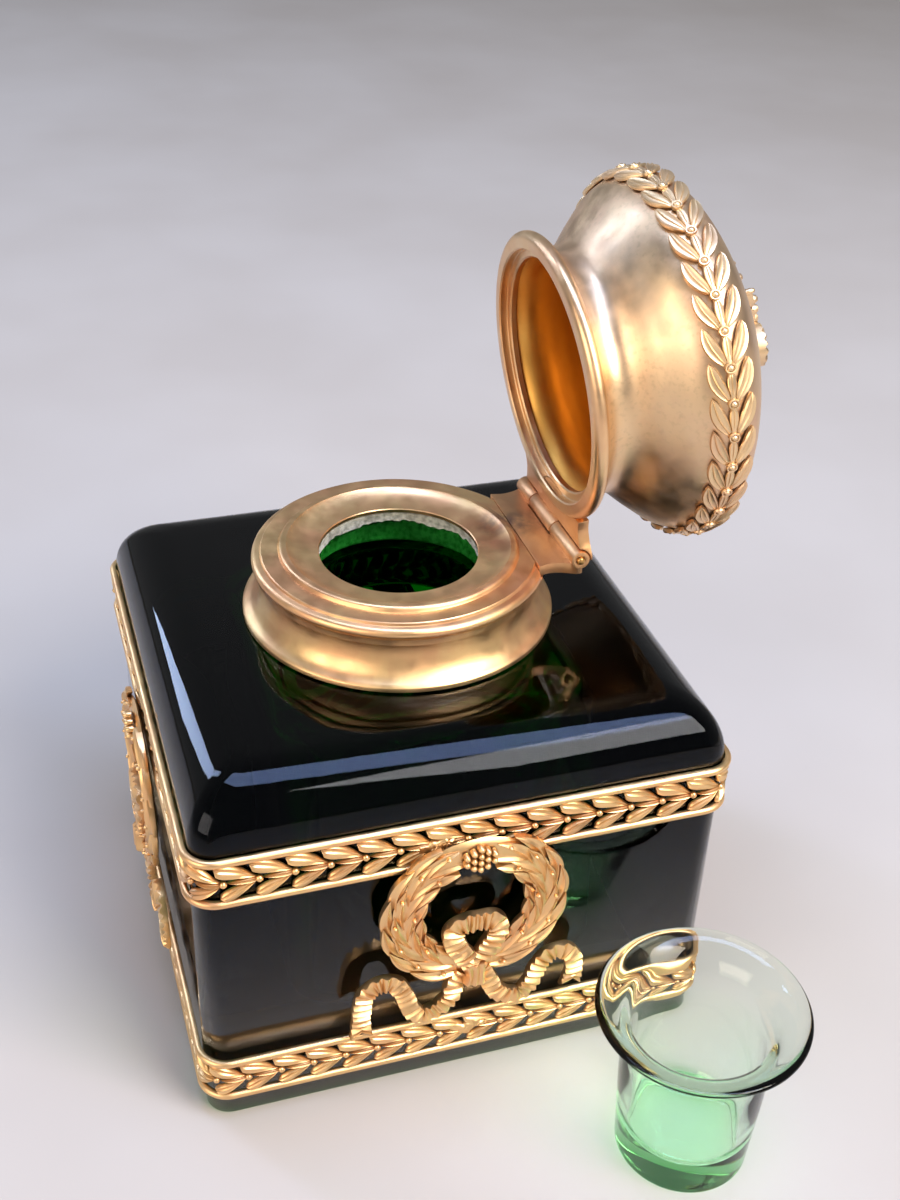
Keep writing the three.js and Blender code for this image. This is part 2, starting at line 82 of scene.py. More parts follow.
class Slot(Enum):
    """The record's material slots."""

    CRYSTAL = "crystal"
    CLEAR_GLASS = "clear_glass"
    GILT_BRONZE = "gilt_bronze"
    LID_BRONZE = "lid_bronze"
    BRASS_PIN = "brass_pin"
    PLASTER = "plaster"


# ---- lines and surfaces ----
def smooth_line(points: Profile, count: int) -> np.ndarray:
    """Evenly spaced points on a smooth curve through the given ones.

    Args:
        points: The points that the curve passes through, in order.
        count: How many points to return.

    Returns:
        An array of count points.
    """
    knots = np.asarray(points, float)
    knots = np.vstack([2 * knots[0] - knots[1], knots, 2 * knots[-1] - knots[-2]])
    share = np.linspace(0, 1, SPAN_STEPS, endpoint=False)[:, None]
    parts = []
    for a, b, c, d in zip(knots, knots[1:], knots[2:], knots[3:]):
        square = (2 * a - 5 * b + 4 * c - d) * share**2
        cube = (3 * b - a - 3 * c + d) * share**3
        parts.append(0.5 * (2 * b + (c - a) * share + square + cube))
    line = np.vstack([*parts, knots[-2:-1]])
    steps = np.linalg.norm(np.diff(line, axis=0), axis=1)
    reach = np.concatenate([[0], np.cumsum(steps)])
    wanted = np.linspace(0, reach[-1], count)
    return np.column_stack([np.interp(wanted, reach, axis) for axis in line.T])


def arc(centre: Sequence[float], radius: float, start: float, end: float, count: int) -> list[list[float]]:
    """Points on a circular arc of a profile.

    Args:
        centre: The arc's centre.
        radius: Its radius.
        start: The first point's angle, in degrees.
        end: The last point's angle, in degrees.
        count: How many points to return.

    Returns:
        The points, both ends included.
    """
    angles = np.radians(np.linspace(start, end, count))
    return [[centre[0] + radius * math.cos(a), centre[1] + radius * math.sin(a)] for a in angles]


def revolved(profile: Profile, steps: int) -> np.ndarray:
    """Turns a profile of [radius, height] points about +Z.

    Args:
        profile: The points in order.
        steps: How many facets go round.

    Returns:
        One row of points for each facet.
    """
    line = np.asarray(profile, float)
    angles = np.linspace(0, FULL_TURN, steps, endpoint=False)[:, None]
    radius, height = line[:, 0], line[:, 1]
    return np.stack([radius * np.cos(angles), radius * np.sin(angles), height + 0 * angles], axis=-1)


def ripple(points: np.ndarray, size: float, depth: float, seed: float = 0.0) -> np.ndarray:
    """A smooth random height for each point, the same on every run.

    Args:
        points: Points in millimetres, with three coordinates in the last axis.
        size: The width of a ripple in millimetres.
        depth: The greatest height either way in millimetres.
        seed: An offset that gives each surface its own ripples.

    Returns:
        One height for each point.
    """
    flat = points.reshape(-1, 3) / size + seed
    heights = [noise.noise(Vector(point)) for point in flat]
    return depth * np.array(heights).reshape(points.shape[:-1])


class Shell:
    """The surface of one piece, gathered in millimetres from its parts."""

    def __init__(self) -> None:
        """Starts with nothing."""
        self.points: list[np.ndarray] = []
        self.faces: list[tuple[int, ...]] = []
        self.marks: list[int] = []
        self.count = 0

    def grid(self, rows: np.ndarray, ring: bool = False, loop: bool = True, caps: bool = True,
             mark: int = 0) -> None:
        """Skins rows of points with four-sided faces.

        Args:
            rows: An array of rows, each of the same number of points.
            ring: True if the last row joins the first.
            loop: True if each row is a closed section.
            caps: True to close the first and last section of an open sweep.
            mark: The number of the finish on these faces.
        """
        total, width = rows.shape[:2]
        start = self.count
        self.points.append(rows.reshape(-1, 3))
        self.count += total * width
        for i in range(total if ring else total - 1):
            ahead = (i + 1) % total
            for j in range(width if loop else width - 1):
                side = (j + 1) % width
                corners = (i * width + j, i * width + side, ahead * width + side, ahead * width + j)
                self.faces.append(tuple(start + corner for corner in corners))
                self.marks.append(mark)
        if caps and loop and not ring:
            first = tuple(range(start, start + width))
            last = tuple(range(start + (total - 1) * width, start + total * width))
            self.faces += [first[::-1], last]
            self.marks += [mark, mark]

    def turned(self, profile: Profile, steps: int, closed: bool = True, mark: int = 0) -> None:
        """Turns a profile of [radius, height] points about +Z.

        Args:
            profile: The points in order.
            steps: How many facets go round.
            closed: True for a ring; False for a profile with both ends on the axis.
            mark: The number of the finish on these faces.
        """
        self.grid(revolved(profile, steps), ring=True, loop=closed, mark=mark)

    def boss(self, along: float, across: float, profile: Profile, place: Place, steps: int = 12) -> None:
        """Sets a small turned stud, such as a berry, on a surface.

        Args:
            along: Where its centre is along the surface.
            across: Where its centre is across the surface.
            profile: [radius, height] points from its foot to its top.
            place: Carries along, across and height to the piece's own axes.
            steps: How many facets go round.
        """
        line = np.asarray(profile, float)
        angles = np.linspace(0, FULL_TURN, steps, endpoint=False)
        radius = np.maximum(line[:, :1], SLIVER)
        heights = line[:, 1:] + 0 * angles
        self.grid(place(along + radius * np.cos(angles), across + radius * np.sin(angles), heights))

    def strip(self, line: np.ndarray, half_widths: np.ndarray, section: Profile, heights: np.ndarray,
              lift: np.ndarray, place: Place, foot: float) -> None:
        """Lays a shaped strip, such as a leaf, along a line on a surface.

        Args:
            line: The centreline's along and across places.
            half_widths: Half the strip's width at each of its points.
            section: [side, height] points across it, each a share of the half width and of the relief.
            heights: The relief at each point of the line.
            lift: How far the strip's face is raised at each point.
            place: Carries along, across and height to the piece's own axes.
            foot: The height of the strip's underside.
        """
        slope = np.gradient(line, axis=0)
        slope /= np.linalg.norm(slope, axis=1, keepdims=True)
        shape = np.asarray(section, float)
        side = half_widths[:, None] * shape[:, 0]
        along = line[:, :1] - slope[:, 1:] * side
        across = line[:, 1:] + slope[:, :1] * side
        out = lift[:, None] * (shape[:, 1] > 0) + heights[:, None] * shape[:, 1] + foot
        self.grid(place(along, across, out))

    def build(self, name: str, finishes: Sequence[bpy.types.Material],
              crease: float = 40.0) -> bpy.types.Object:
        """Makes the Blender object.

        Args:
            name: The piece's name.
            finishes: Its materials, in the order of the marks.
            crease: Edges sharper than this, in degrees, stay crisp.

        Returns:
            The object, at the origin.
        """
        mesh = bpy.data.meshes.new(name)
        mesh.from_pydata((np.vstack(self.points) * MM).tolist(), [], self.faces)
        mesh.polygons.foreach_set("material_index", self.marks)
        edit = bmesh.new()
        edit.from_mesh(mesh)
        bmesh.ops.remove_doubles(edit, verts=edit.verts, dist=WELD * MM)
        bmesh.ops.dissolve_degenerate(edit, edges=edit.edges, dist=WELD / 2 * MM)
        bmesh.ops.recalc_face_normals(edit, faces=edit.faces)
        edit.to_mesh(mesh)
        edit.free()
        return shown(name, mesh, finishes, crease)


def shown(name: str, mesh: bpy.types.Mesh, finishes: Sequence[bpy.types.Material],
          crease: float) -> bpy.types.Object:
    """Puts a mesh in the scene as a smooth-shaded object with its finishes.

    Args:
        name: The piece's name.
        mesh: Its mesh.
        finishes: Its materials.
        crease: Edges sharper than this, in degrees, stay crisp.

    Returns:
        The object.
    """
    mesh.polygons.foreach_set("use_smooth", [True] * len(mesh.polygons))
    mesh.set_sharp_from_angle(angle=math.radians(crease))
    for finish in finishes:
        mesh.materials.append(finish)
    piece = bpy.data.objects.new(name, mesh)
    bpy.context.scene.collection.objects.link(piece)
    return piece


def cut(name: str, body: bpy.types.Object, joins: Sequence[bpy.types.Object],
        tools: Sequence[bpy.types.Object], finish: bpy.types.Material,
        bevel: float = 0.0) -> bpy.types.Object:
    """Joins solids to a body, cuts others out of it, and softens its edges.

    Args:
        name: The finished piece's name.
        body: The solid to start from.
        joins: Solids that are added.
        tools: Solids that are cut away.
        finish: The piece's material.
        bevel: The width of the softened edges in millimetres.

    Returns:
        The finished object; the solids that it was made from are removed.
    """
    for operation, solids in (("UNION", joins), ("DIFFERENCE", tools)):
        for solid in solids:
            step = body.modifiers.new(operation, "BOOLEAN")
            step.operation = operation
            step.solver = "EXACT"
            step.object = solid
    if bevel:
        edge = body.modifiers.new("edges", "BEVEL")
        edge.width = bevel * MM
        edge.segments = 2
        edge.limit_method = "ANGLE"
        edge.angle_limit = math.radians(35)
    bpy.context.view_layer.update()
    view = bpy.context.evaluated_depsgraph_get()
    mesh = bpy.data.meshes.new_from_object(body.evaluated_get(view))
    for used in [body, *joins, *tools]:
        bpy.data.objects.remove(used)
    mesh.materials.clear()
    mesh.polygons.foreach_set("material_index", [0] * len(mesh.polygons))
    mesh.name = name
    return shown(name, mesh, [finish], crease=32)


def settle(piece: bpy.types.Object, body: Body, slot: Slot, *nodes: str) -> bpy.types.Object:
    """Parents a piece to its body and hides the CAD nodes that it stands for.

    Args:
        piece: The piece, in place.
        body: The body that it moves with.
        slot: The record's material slot; not used.
        *nodes: The CAD nodes that it replaces.

    Returns:
        The same piece.
    """
    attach(piece, body.value)
    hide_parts(*nodes)
    log.info("%s: %d faces on %s", piece.name, len(piece.data.polygons), body.value)
    return piece


# ---- finishes ----
def linear(colour: str) -> tuple[float, float, float, float]:
    """A linear RGBA colour from an sRGB hex string."""
    channels = [int(colour[i : i + 2], 16) / 255 for i in (1, 3, 5)]
    red, green, blue = [c / 12.92 if c <= 0.04045 else ((c + 0.055) / 1.055) ** 2.4 for c in channels]
    return red, green, blue, 1.0


def add_node(tree: bpy.types.NodeTree, kind: str, settings: dict[str | int, Any] | None = None,
             links: dict[str | int, bpy.types.NodeSocket] | None = None) -> bpy.types.Node:
    """Adds one node.

    Args:
        tree: The material's node tree.
        kind: The node's type name.
        settings: Values for the node's own properties, or for its inputs by name or number.
        links: Sockets to join to its inputs, by name or number.

    Returns:
        The node.
    """
    node = tree.nodes.new(kind)
    for key, value in (settings or {}).items():
        if isinstance(key, str) and key in node.bl_rna.properties:
            setattr(node, key, value)
        else:
            node.inputs[key].default_value = value
    for key, socket in (links or {}).items():
        tree.links.new(socket, node.inputs[key])
    return node


@dataclass(frozen=True)
class Swing:
    """The hinge's turn between the closed lid and the open one, in metres and radians."""

    centre: tuple[float, float, float]
    axis: tuple[float, float, float]
    angle: float

    def opened(self) -> Matrix:
        """The turn that opens the lid."""
        shift = Matrix.Translation(Vector(self.centre))
        return shift @ Matrix.Rotation(-self.angle, 4, Vector(self.axis)) @ shift.inverted()


class Finish(ABC):
    """A named material made from procedural nodes."""

    name: str

    def material(self, swing: "Swing | None" = None) -> bpy.types.Material:
        """Makes the Blender material.

        Args:
            swing: The lid's swing, so that a pattern on the open lid is placed as on the closed one.

        Returns:
            The material.
        """
        made = bpy.data.materials.new(self.name)
        made.use_nodes = True
        made.node_tree.nodes.clear()
        self.place = add_node(made.node_tree, "ShaderNodeTexCoord").outputs["Object"]
        if swing:
            closed = add_node(made.node_tree, "ShaderNodeVectorRotate",
                              {"rotation_type": "AXIS_ANGLE", "Center": swing.centre, "Axis": swing.axis,
                               "Angle": swing.angle}, {"Vector": self.place})
            self.place = closed.outputs[0]
        self.wire(made.node_tree)
        return made

    @abstractmethod
    def wire(self, tree: bpy.types.NodeTree) -> None:
        """Adds the finish's own nodes.

        Args:
            tree: The material's node tree.
        """

    def clouds(self, tree: bpy.types.NodeTree, size: float, low: float, high: float,
               detail: float = 3.0) -> bpy.types.NodeSocket:
        """Soft random patches of a real size, as a mask.

        Args:
            tree: The material's node tree.
            size: The width of a patch in millimetres.
            low: The cloud height at which the mask is 0.
            high: The cloud height at which the mask is 1.
            detail: How much finer structure the patches hold.

        Returns:
            The mask's socket.
        """
        cloud = add_node(tree, "ShaderNodeTexNoise", {"Scale": 1000 / size, "Detail": detail},
                         {"Vector": self.place})
        mask = add_node(tree, "ShaderNodeMapRange", {"From Min": low, "From Max": high},
                        {"Value": cloud.outputs["Fac"]})
        return mask.outputs["Result"]

    def spot(self, tree: bpy.types.NodeTree, centre: Sequence[float], radius: float) -> bpy.types.NodeSocket:
        """A soft round mask about a point of the piece, broken up by small clouds.

        Args:
            tree: The material's node tree.
            centre: The point in millimetres.
            radius: Where the mask reaches 0, in millimetres.

        Returns:
            The mask's socket.
        """
        far = add_node(tree, "ShaderNodeVectorMath", {"operation": "DISTANCE", 1: [c * MM for c in centre]},
                       {0: self.place})
        near = add_node(tree, "ShaderNodeMapRange", {"From Min": radius * MM, "From Max": radius * 0.3 * MM},
                        {"Value": far.outputs["Value"]})
        ragged = self.clouds(tree, radius * 0.5, 0.3, 0.6)
        return add_node(tree, "ShaderNodeMath", {"operation": "MULTIPLY"},
                        {0: near.outputs["Result"], 1: ragged}).outputs[0]

    def tinted(self, tree: bpy.types.NodeTree, under: bpy.types.NodeSocket | str, over: str,
               mask: bpy.types.NodeSocket, strength: float = 1.0) -> bpy.types.NodeSocket:
        """Lays one colour over another through a mask.

        Args:
            tree: The material's node tree.
            under: The colour below, as a socket or as sRGB hex.
            over: The colour laid on, as sRGB hex.
            mask: Where it is laid on.
            strength: How strongly, from 0 to 1.

        Returns:
            The mixed colour's socket.
        """
        if strength < 1:
            weaker = add_node(tree, "ShaderNodeMath", {"operation": "MULTIPLY", 1: strength}, {0: mask})
            mask = weaker.outputs[0]
        # The mix node has sockets for every kind of value; these three are its colours.
        below, above, mixed = 6, 7, 2
        settings: dict[str | int, Any] = {"data_type": "RGBA", above: linear(over)}
        links: dict[str | int, bpy.types.NodeSocket] = {0: mask}
        if isinstance(under, str):
            settings[below] = linear(under)
        else:
            links[below] = under
        return add_node(tree, "ShaderNodeMix", settings, links).outputs[mixed]


@dataclass(frozen=True)
class ColourSpot:
    """A soft round patch of another colour laid on the gilding."""

    colour: str
    centre: tuple[float, float, float]
    radius: float
    strength: float = 0.8


@dataclass
class GiltMetal(Finish):
    """Fire-gilt metal with a satin skin: warm broad highlights, copper-red where it has rubbed thin.

    Sizes are in millimetres, strengths go from 0 to 1, and colours are sRGB hex.
    """

    name: str
    gold: str
    rose: str
    roughness: float
    shade: str = "#6E4020"
    # How strongly ambient occlusion browns the hollows: dirt and painted shade.
    dirt_and_shade: float = 0.0
    turning: float = 0.0
    tarnish: float = 0.0
    colour_spots: tuple[ColourSpot, ...] = ()
    grain: float = 0.35
    patch: float = 13.0
    blend: float = 0.6

    def wire(self, tree: bpy.types.NodeTree) -> None:
        """Adds colour patches, tarnish, coloured spots, brown hollows with dirt and painted shade, and the
        satin skin.

        Args:
            tree: The material's node tree.
        """
        patches = self.clouds(tree, self.patch, 0.42, 0.66)
        colour = self.tinted(tree, self.gold, self.rose, patches, self.blend)
        colour = self.tinted(tree, colour, self.rose, self.clouds(tree, 1.6, 0.5, 0.75), 0.2)
        if self.tarnish:
            # Grey-green specks where the gilding is thin over the brass.
            thin = self.clouds(tree, 16.0, 0.45, 0.62)
            specks = self.clouds(tree, 0.9, 0.52, 0.68, 6.0)
            both = add_node(tree, "ShaderNodeMath", {"operation": "MULTIPLY"}, {0: thin, 1: specks})
            colour = self.tinted(tree, colour, "#6F6A4A", both.outputs[0], self.tarnish)
        for colour_spot in self.colour_spots:
            mask = self.spot(tree, colour_spot.centre, colour_spot.radius)
            colour = self.tinted(tree, colour, colour_spot.colour, mask, colour_spot.strength)
        if self.dirt_and_shade:
            # Painted shade: ambient occlusion browns the hollows of the chasing, both for the dirt and old
            # lacquer kept there and for the shade that falls in them.
            hollow = add_node(tree, "ShaderNodeAmbientOcclusion", {"samples": 8, "Distance": 1.2 * MM})
            depth = add_node(tree, "ShaderNodeMapRange", {"From Min": 0.7, "From Max": 0.25},
                             {"Value": hollow.outputs["AO"]})
            colour = self.tinted(tree, colour, self.shade, depth.outputs["Result"], self.dirt_and_shade)
        rub = self.clouds(tree, 4.0, 0.3, 0.7)
        rough = add_node(tree, "ShaderNodeMapRange",
                         {"To Min": self.roughness - 0.06, "To Max": self.roughness + 0.1}, {"Value": rub})
        skin = add_node(tree, "ShaderNodeTexNoise", {"Scale": 1000 / self.grain, "Detail": 2.0},
                        {"Vector": self.place})
        bump = add_node(tree, "ShaderNodeBump", {"Strength": 0.35, "Distance": 0.02 * MM},
                        {"Height": skin.outputs["Fac"]})
        if self.turning:
            bump = self.turn_lines(tree, bump.outputs["Normal"])
        shader = add_node(tree, "ShaderNodeBsdfPrincipled", {"Metallic": 1.0},
                          {"Base Color": colour, "Roughness": rough.outputs["Result"],
                           "Normal": bump.outputs["Normal"]})
        add_node(tree, "ShaderNodeOutputMaterial", links={"Surface": shader.outputs[0]})

    def turn_lines(self, tree: bpy.types.NodeTree, normal: bpy.types.NodeSocket) -> bpy.types.Node:
        """Adds the fine rings that a lathe tool leaves, drawn wide enough to show.

        Args:
            tree: The material's node tree.
            normal: The bump below.

        Returns:
            The bump node that holds both.
        """
        parts = add_node(tree, "ShaderNodeSeparateXYZ", links={0: self.place})
        flat = add_node(tree, "ShaderNodeCombineXYZ",
                        links={"X": parts.outputs["X"], "Y": parts.outputs["Y"]})
        radius = add_node(tree, "ShaderNodeVectorMath", {"operation": "LENGTH"}, {0: flat.outputs[0]})
        rings = add_node(tree, "ShaderNodeCombineXYZ",
                         links={"X": radius.outputs["Value"], "Y": parts.outputs["Z"]})
        lines = add_node(tree, "ShaderNodeTexNoise", {"Scale": 1000 / self.turning, "Detail": 1.0},
                         {"Vector": rings.outputs[0]})
        return add_node(tree, "ShaderNodeBump", {"Strength": 0.3, "Distance": 0.02 * MM},
                        {"Height": lines.outputs["Fac"], "Normal": normal})


@dataclass
class Glass(Finish):
    """Polished glass, coloured through its depth, so thin parts glow and thick ones go dark.

    The polish is a roughness, the waves are the height of its uneven skin in millimetres, and the
    glare colours its reflections.
    """

    name: str
    ior: float
    density: float
    depth_tint: str
    polish: float
    waves: float
    glare: str = "#FFFFFF"
    wave_size: float = 14.0

    def wire(self, tree: bpy.types.NodeTree) -> None:
        """Adds the clear skin with its faint waves and the colour inside.

        Args:
            tree: The material's node tree.
        """
        wave = add_node(tree, "ShaderNodeTexNoise", {"Scale": 1000 / self.wave_size, "Detail": 1.5},
                        {"Vector": self.place})
        bump = add_node(tree, "ShaderNodeBump", {"Strength": 0.25, "Distance": self.waves * MM},
                        {"Height": wave.outputs["Fac"]})
        # Handling leaves faint dull smears on the polish.
        smear = self.clouds(tree, 9.0, 0.45, 0.8)
        rough = add_node(tree, "ShaderNodeMapRange", {"To Min": self.polish, "To Max": self.polish + 0.05},
                         {"Value": smear})
        skin = add_node(tree, "ShaderNodeBsdfPrincipled",
                        {"Base Color": linear("#FFFFFF"), "Transmission Weight": 1.0, "IOR": self.ior,
                         "Specular Tint": linear(self.glare)},
                        {"Roughness": rough.outputs["Result"], "Normal": bump.outputs["Normal"]})
        # Lamps light what stands inside the glass, as they do through real glass.
        rays = add_node(tree, "ShaderNodeLightPath")
        clear = add_node(tree, "ShaderNodeBsdfTransparent", {"Color": linear("#F2F2F2")})
        surface = add_node(tree, "ShaderNodeMixShader", links={
            0: rays.outputs["Is Shadow Ray"], 1: skin.outputs[0], 2: clear.outputs[0]})
        inside = add_node(tree, "ShaderNodeVolumeAbsorption",
                          {"Color": linear(self.depth_tint), "Density": self.density})
        add_node(tree, "ShaderNodeOutputMaterial",
                 links={"Surface": surface.outputs[0], "Volume": inside.outputs[0]})


@dataclass
class SetPlaster(Finish):
    """Plaster trowelled in by hand: matt, gritty and grey-white, with darker dirty patches."""

    name: str
    grit: float = 0.5

    def wire(self, tree: bpy.types.NodeTree) -> None:
        """Adds the dirt and the grit.

        Args:
            tree: The material's node tree.
        """
        colour = self.tinted(tree, "#C4C6BC", "#747A72", self.clouds(tree, 1.2, 0.42, 0.66, 5.0), 0.85)
        colour = self.tinted(tree, colour, "#98907E", self.clouds(tree, 6.0, 0.5, 0.7), 0.5)
        grit = add_node(tree, "ShaderNodeTexNoise", {"Scale": 1000 / self.grit, "Detail": 5.0},
                        {"Vector": self.place})
        bump = add_node(tree, "ShaderNodeBump", {"Strength": 0.8, "Distance": 0.15 * MM},
                        {"Height": grit.outputs["Fac"]})
        shader = add_node(tree, "ShaderNodeBsdfPrincipled", {"Roughness": 0.95},
                          {"Base Color": colour, "Normal": bump.outputs["Normal"]})
        add_node(tree, "ShaderNodeOutputMaterial", links={"Surface": shader.outputs[0]})


@dataclass
class PaleBoard(Finish):
    """Matt painted board for the floor: pale and even, so it keeps attention on the object."""

    name: str

    def wire(self, tree: bpy.types.NodeTree) -> None:
        """Adds an even matt paint with a very faint mottle.

        Args:
            tree: The material's node tree.
        """
        colour = self.tinted(tree, "#BDB7AF", "#B6AFA6", self.clouds(tree, 120.0, 0.35, 0.65))
        shader = add_node(tree, "ShaderNodeBsdfPrincipled", {"Roughness": 0.85}, {"Base Color": colour})
        add_node(tree, "ShaderNodeOutputMaterial", links={"Surface": shader.outputs[0]})


# ---- small castings ----
# Across a chased leaf: a rolled edge, a hollow, and a raised rib along the middle; then its underside.
LEAF_SECTION = ((-1, 0.02), (-0.94, 0.6), (-0.74, 0.94), (-0.42, 0.66), (-0.14, 0.7), (0, 1.0), (0.14, 0.7),
                (0.42, 0.66), (0.74, 0.94), (0.94, 0.6), (1, 0.02), (0.9, 0), (-0.9, 0))
# A leaf of the wreath is plainer: two soft faces that meet in a ridge.
LANCE_SECTION = ((-1, 0.02), (-0.92, 0.34), (-0.6, 0.4), (-0.25, 0.56), (-0.06, 0.95), (0, 1.0), (0.06, 0.95),
                 (0.25, 0.56), (0.6, 0.4), (0.92, 0.34), (1, 0.02), (0.9, 0), (-0.9, 0))
BERRY = ((0.62, 0), (0.68, 0.35), (0.6, 0.72), (0.38, 0.98), (0.0, 1.08))
RINGED_BERRY = ((0.95, 0), (1.0, 0.35), (0.86, 0.62), (0.66, 0.6), (0.58, 0.46), (0.5, 0.62), (0.3, 0.8),
                (0, 0.86))


@dataclass
class Leaf:
    """One laurel leaf of a casting: its size in millimetres and how it bends."""

    length: float
    width: float
    spread: float
    start: float = 0.3
    bow: float = 0.35
    relief: float = 0.9
    rise: float = 0.0
    base_power: float = 0.62
    tip_power: float = 0.6
    steps: int = 11
    section: Profile = LEAF_SECTION

    def lay(self, shell: Shell, along: float, side: float, direction: float, place: Place,
            foot: float) -> None:
        """Adds the leaf to a casting.

        Args:
            shell: The casting.
            along: Where its stalk is.
            side: +1 or -1, the side of the stem that it grows on.
            direction: +1 or -1, the way that its tip points along the stem.
            place: Carries along, across and height to the piece's own axes.
            foot: The height of its underside.
        """
        middle = self.start + (self.spread - self.start) * (0.5 + self.bow * 0.5)
        line = smooth_line([[0, self.start], [self.length * 0.5, middle], [self.length, self.spread]],
                           self.steps)
        share = np.linspace(0, 1, self.steps)
        shape = share**self.base_power * (1 - share) ** self.tip_power
        peak = self.base_power / (self.base_power + self.tip_power)
        shape /= peak**self.base_power * (1 - peak) ** self.tip_power
        shape = np.maximum(shape, 0.03)
        line = np.column_stack([along + direction * line[:, 0], side * line[:, 1]])
        shell.strip(line, shape * self.width / 2, self.section, self.relief * shape**0.45,
                    self.rise * share**1.4, place, foot)


@dataclass
class Ribbon:
    """A strip of pleated ribbon, in millimetres.

    A notch above 0 flares its end and cuts it to a swallowtail.
    """

    width: float
    relief: float
    pleat: float = 1.05
    fold: float = 0.24
    notch: float = 0.0
    end: float = 3.5

    def lay(self, shell: Shell, points: Profile, place: Place, foot: float,
            lift: Sequence[float] = (0, 0)) -> None:
        """Adds the ribbon to a casting.

        Args:
            shell: The casting.
            points: Points of its centreline.
            place: Carries along, across and height to the piece's own axes.
            foot: The height of its underside.
            lift: How far its face is raised at its start and its end.
        """
        rough = smooth_line(points, 60)
        length = float(np.linalg.norm(np.diff(rough, axis=0), axis=1).sum())
        count = int(length / self.pleat * 5)
        line = smooth_line(points, count)
        slope = np.gradient(line, axis=0)
        slope /= np.linalg.norm(slope, axis=1, keepdims=True)
        reach = np.linspace(0, length, count)
        across = np.array([-1, -0.96, -0.65, -0.3, 0, 0.3, 0.65, 0.96, 1])
        swell = np.array([0.3, 0.86, 0.96, 1, 1, 1, 0.96, 0.86, 0.3])
        # Pleats aren't quite even, and fan a little across the ribbon.
        uneven = 0.5 * np.sin(reach * 0.9) + 0.35 * np.sin(reach * 2.3 + 1)
        wave = np.sin(FULL_TURN * reach[:, None] / self.pleat + uneven[:, None] + 0.25 * across)
        pleats = self.fold * np.sign(wave) * np.abs(wave) ** 0.6 * (0.4 + 0.6 * swell)
        last = np.clip((reach - length + self.end) / self.end, 0, 1)
        flare = 1 + 0.22 * last * (self.notch > 0)
        half = self.width / 2 * flare * (1 + 0.04 * np.sin(reach * 1.7))
        side = half[:, None] * across
        # The end is cut to a swallowtail, so its middle stops short of its corners.
        back = self.notch * last[:, None] * (1 - np.abs(across))
        u = line[:, :1] - slope[:, 1:] * side - slope[:, :1] * back
        v = line[:, 1:] + slope[:, :1] * side - slope[:, 1:] * back
        raised = np.linspace(lift[0], lift[1], count)[:, None]
        top = place(u, v, foot + raised + self.relief * swell + pleats)
        under = place(u[:, ::-1][:, 1:-1], v[:, ::-1][:, 1:-1], foot + 0 * u[:, 1:-1])
        shell.grid(np.concatenate([top, under], axis=1))


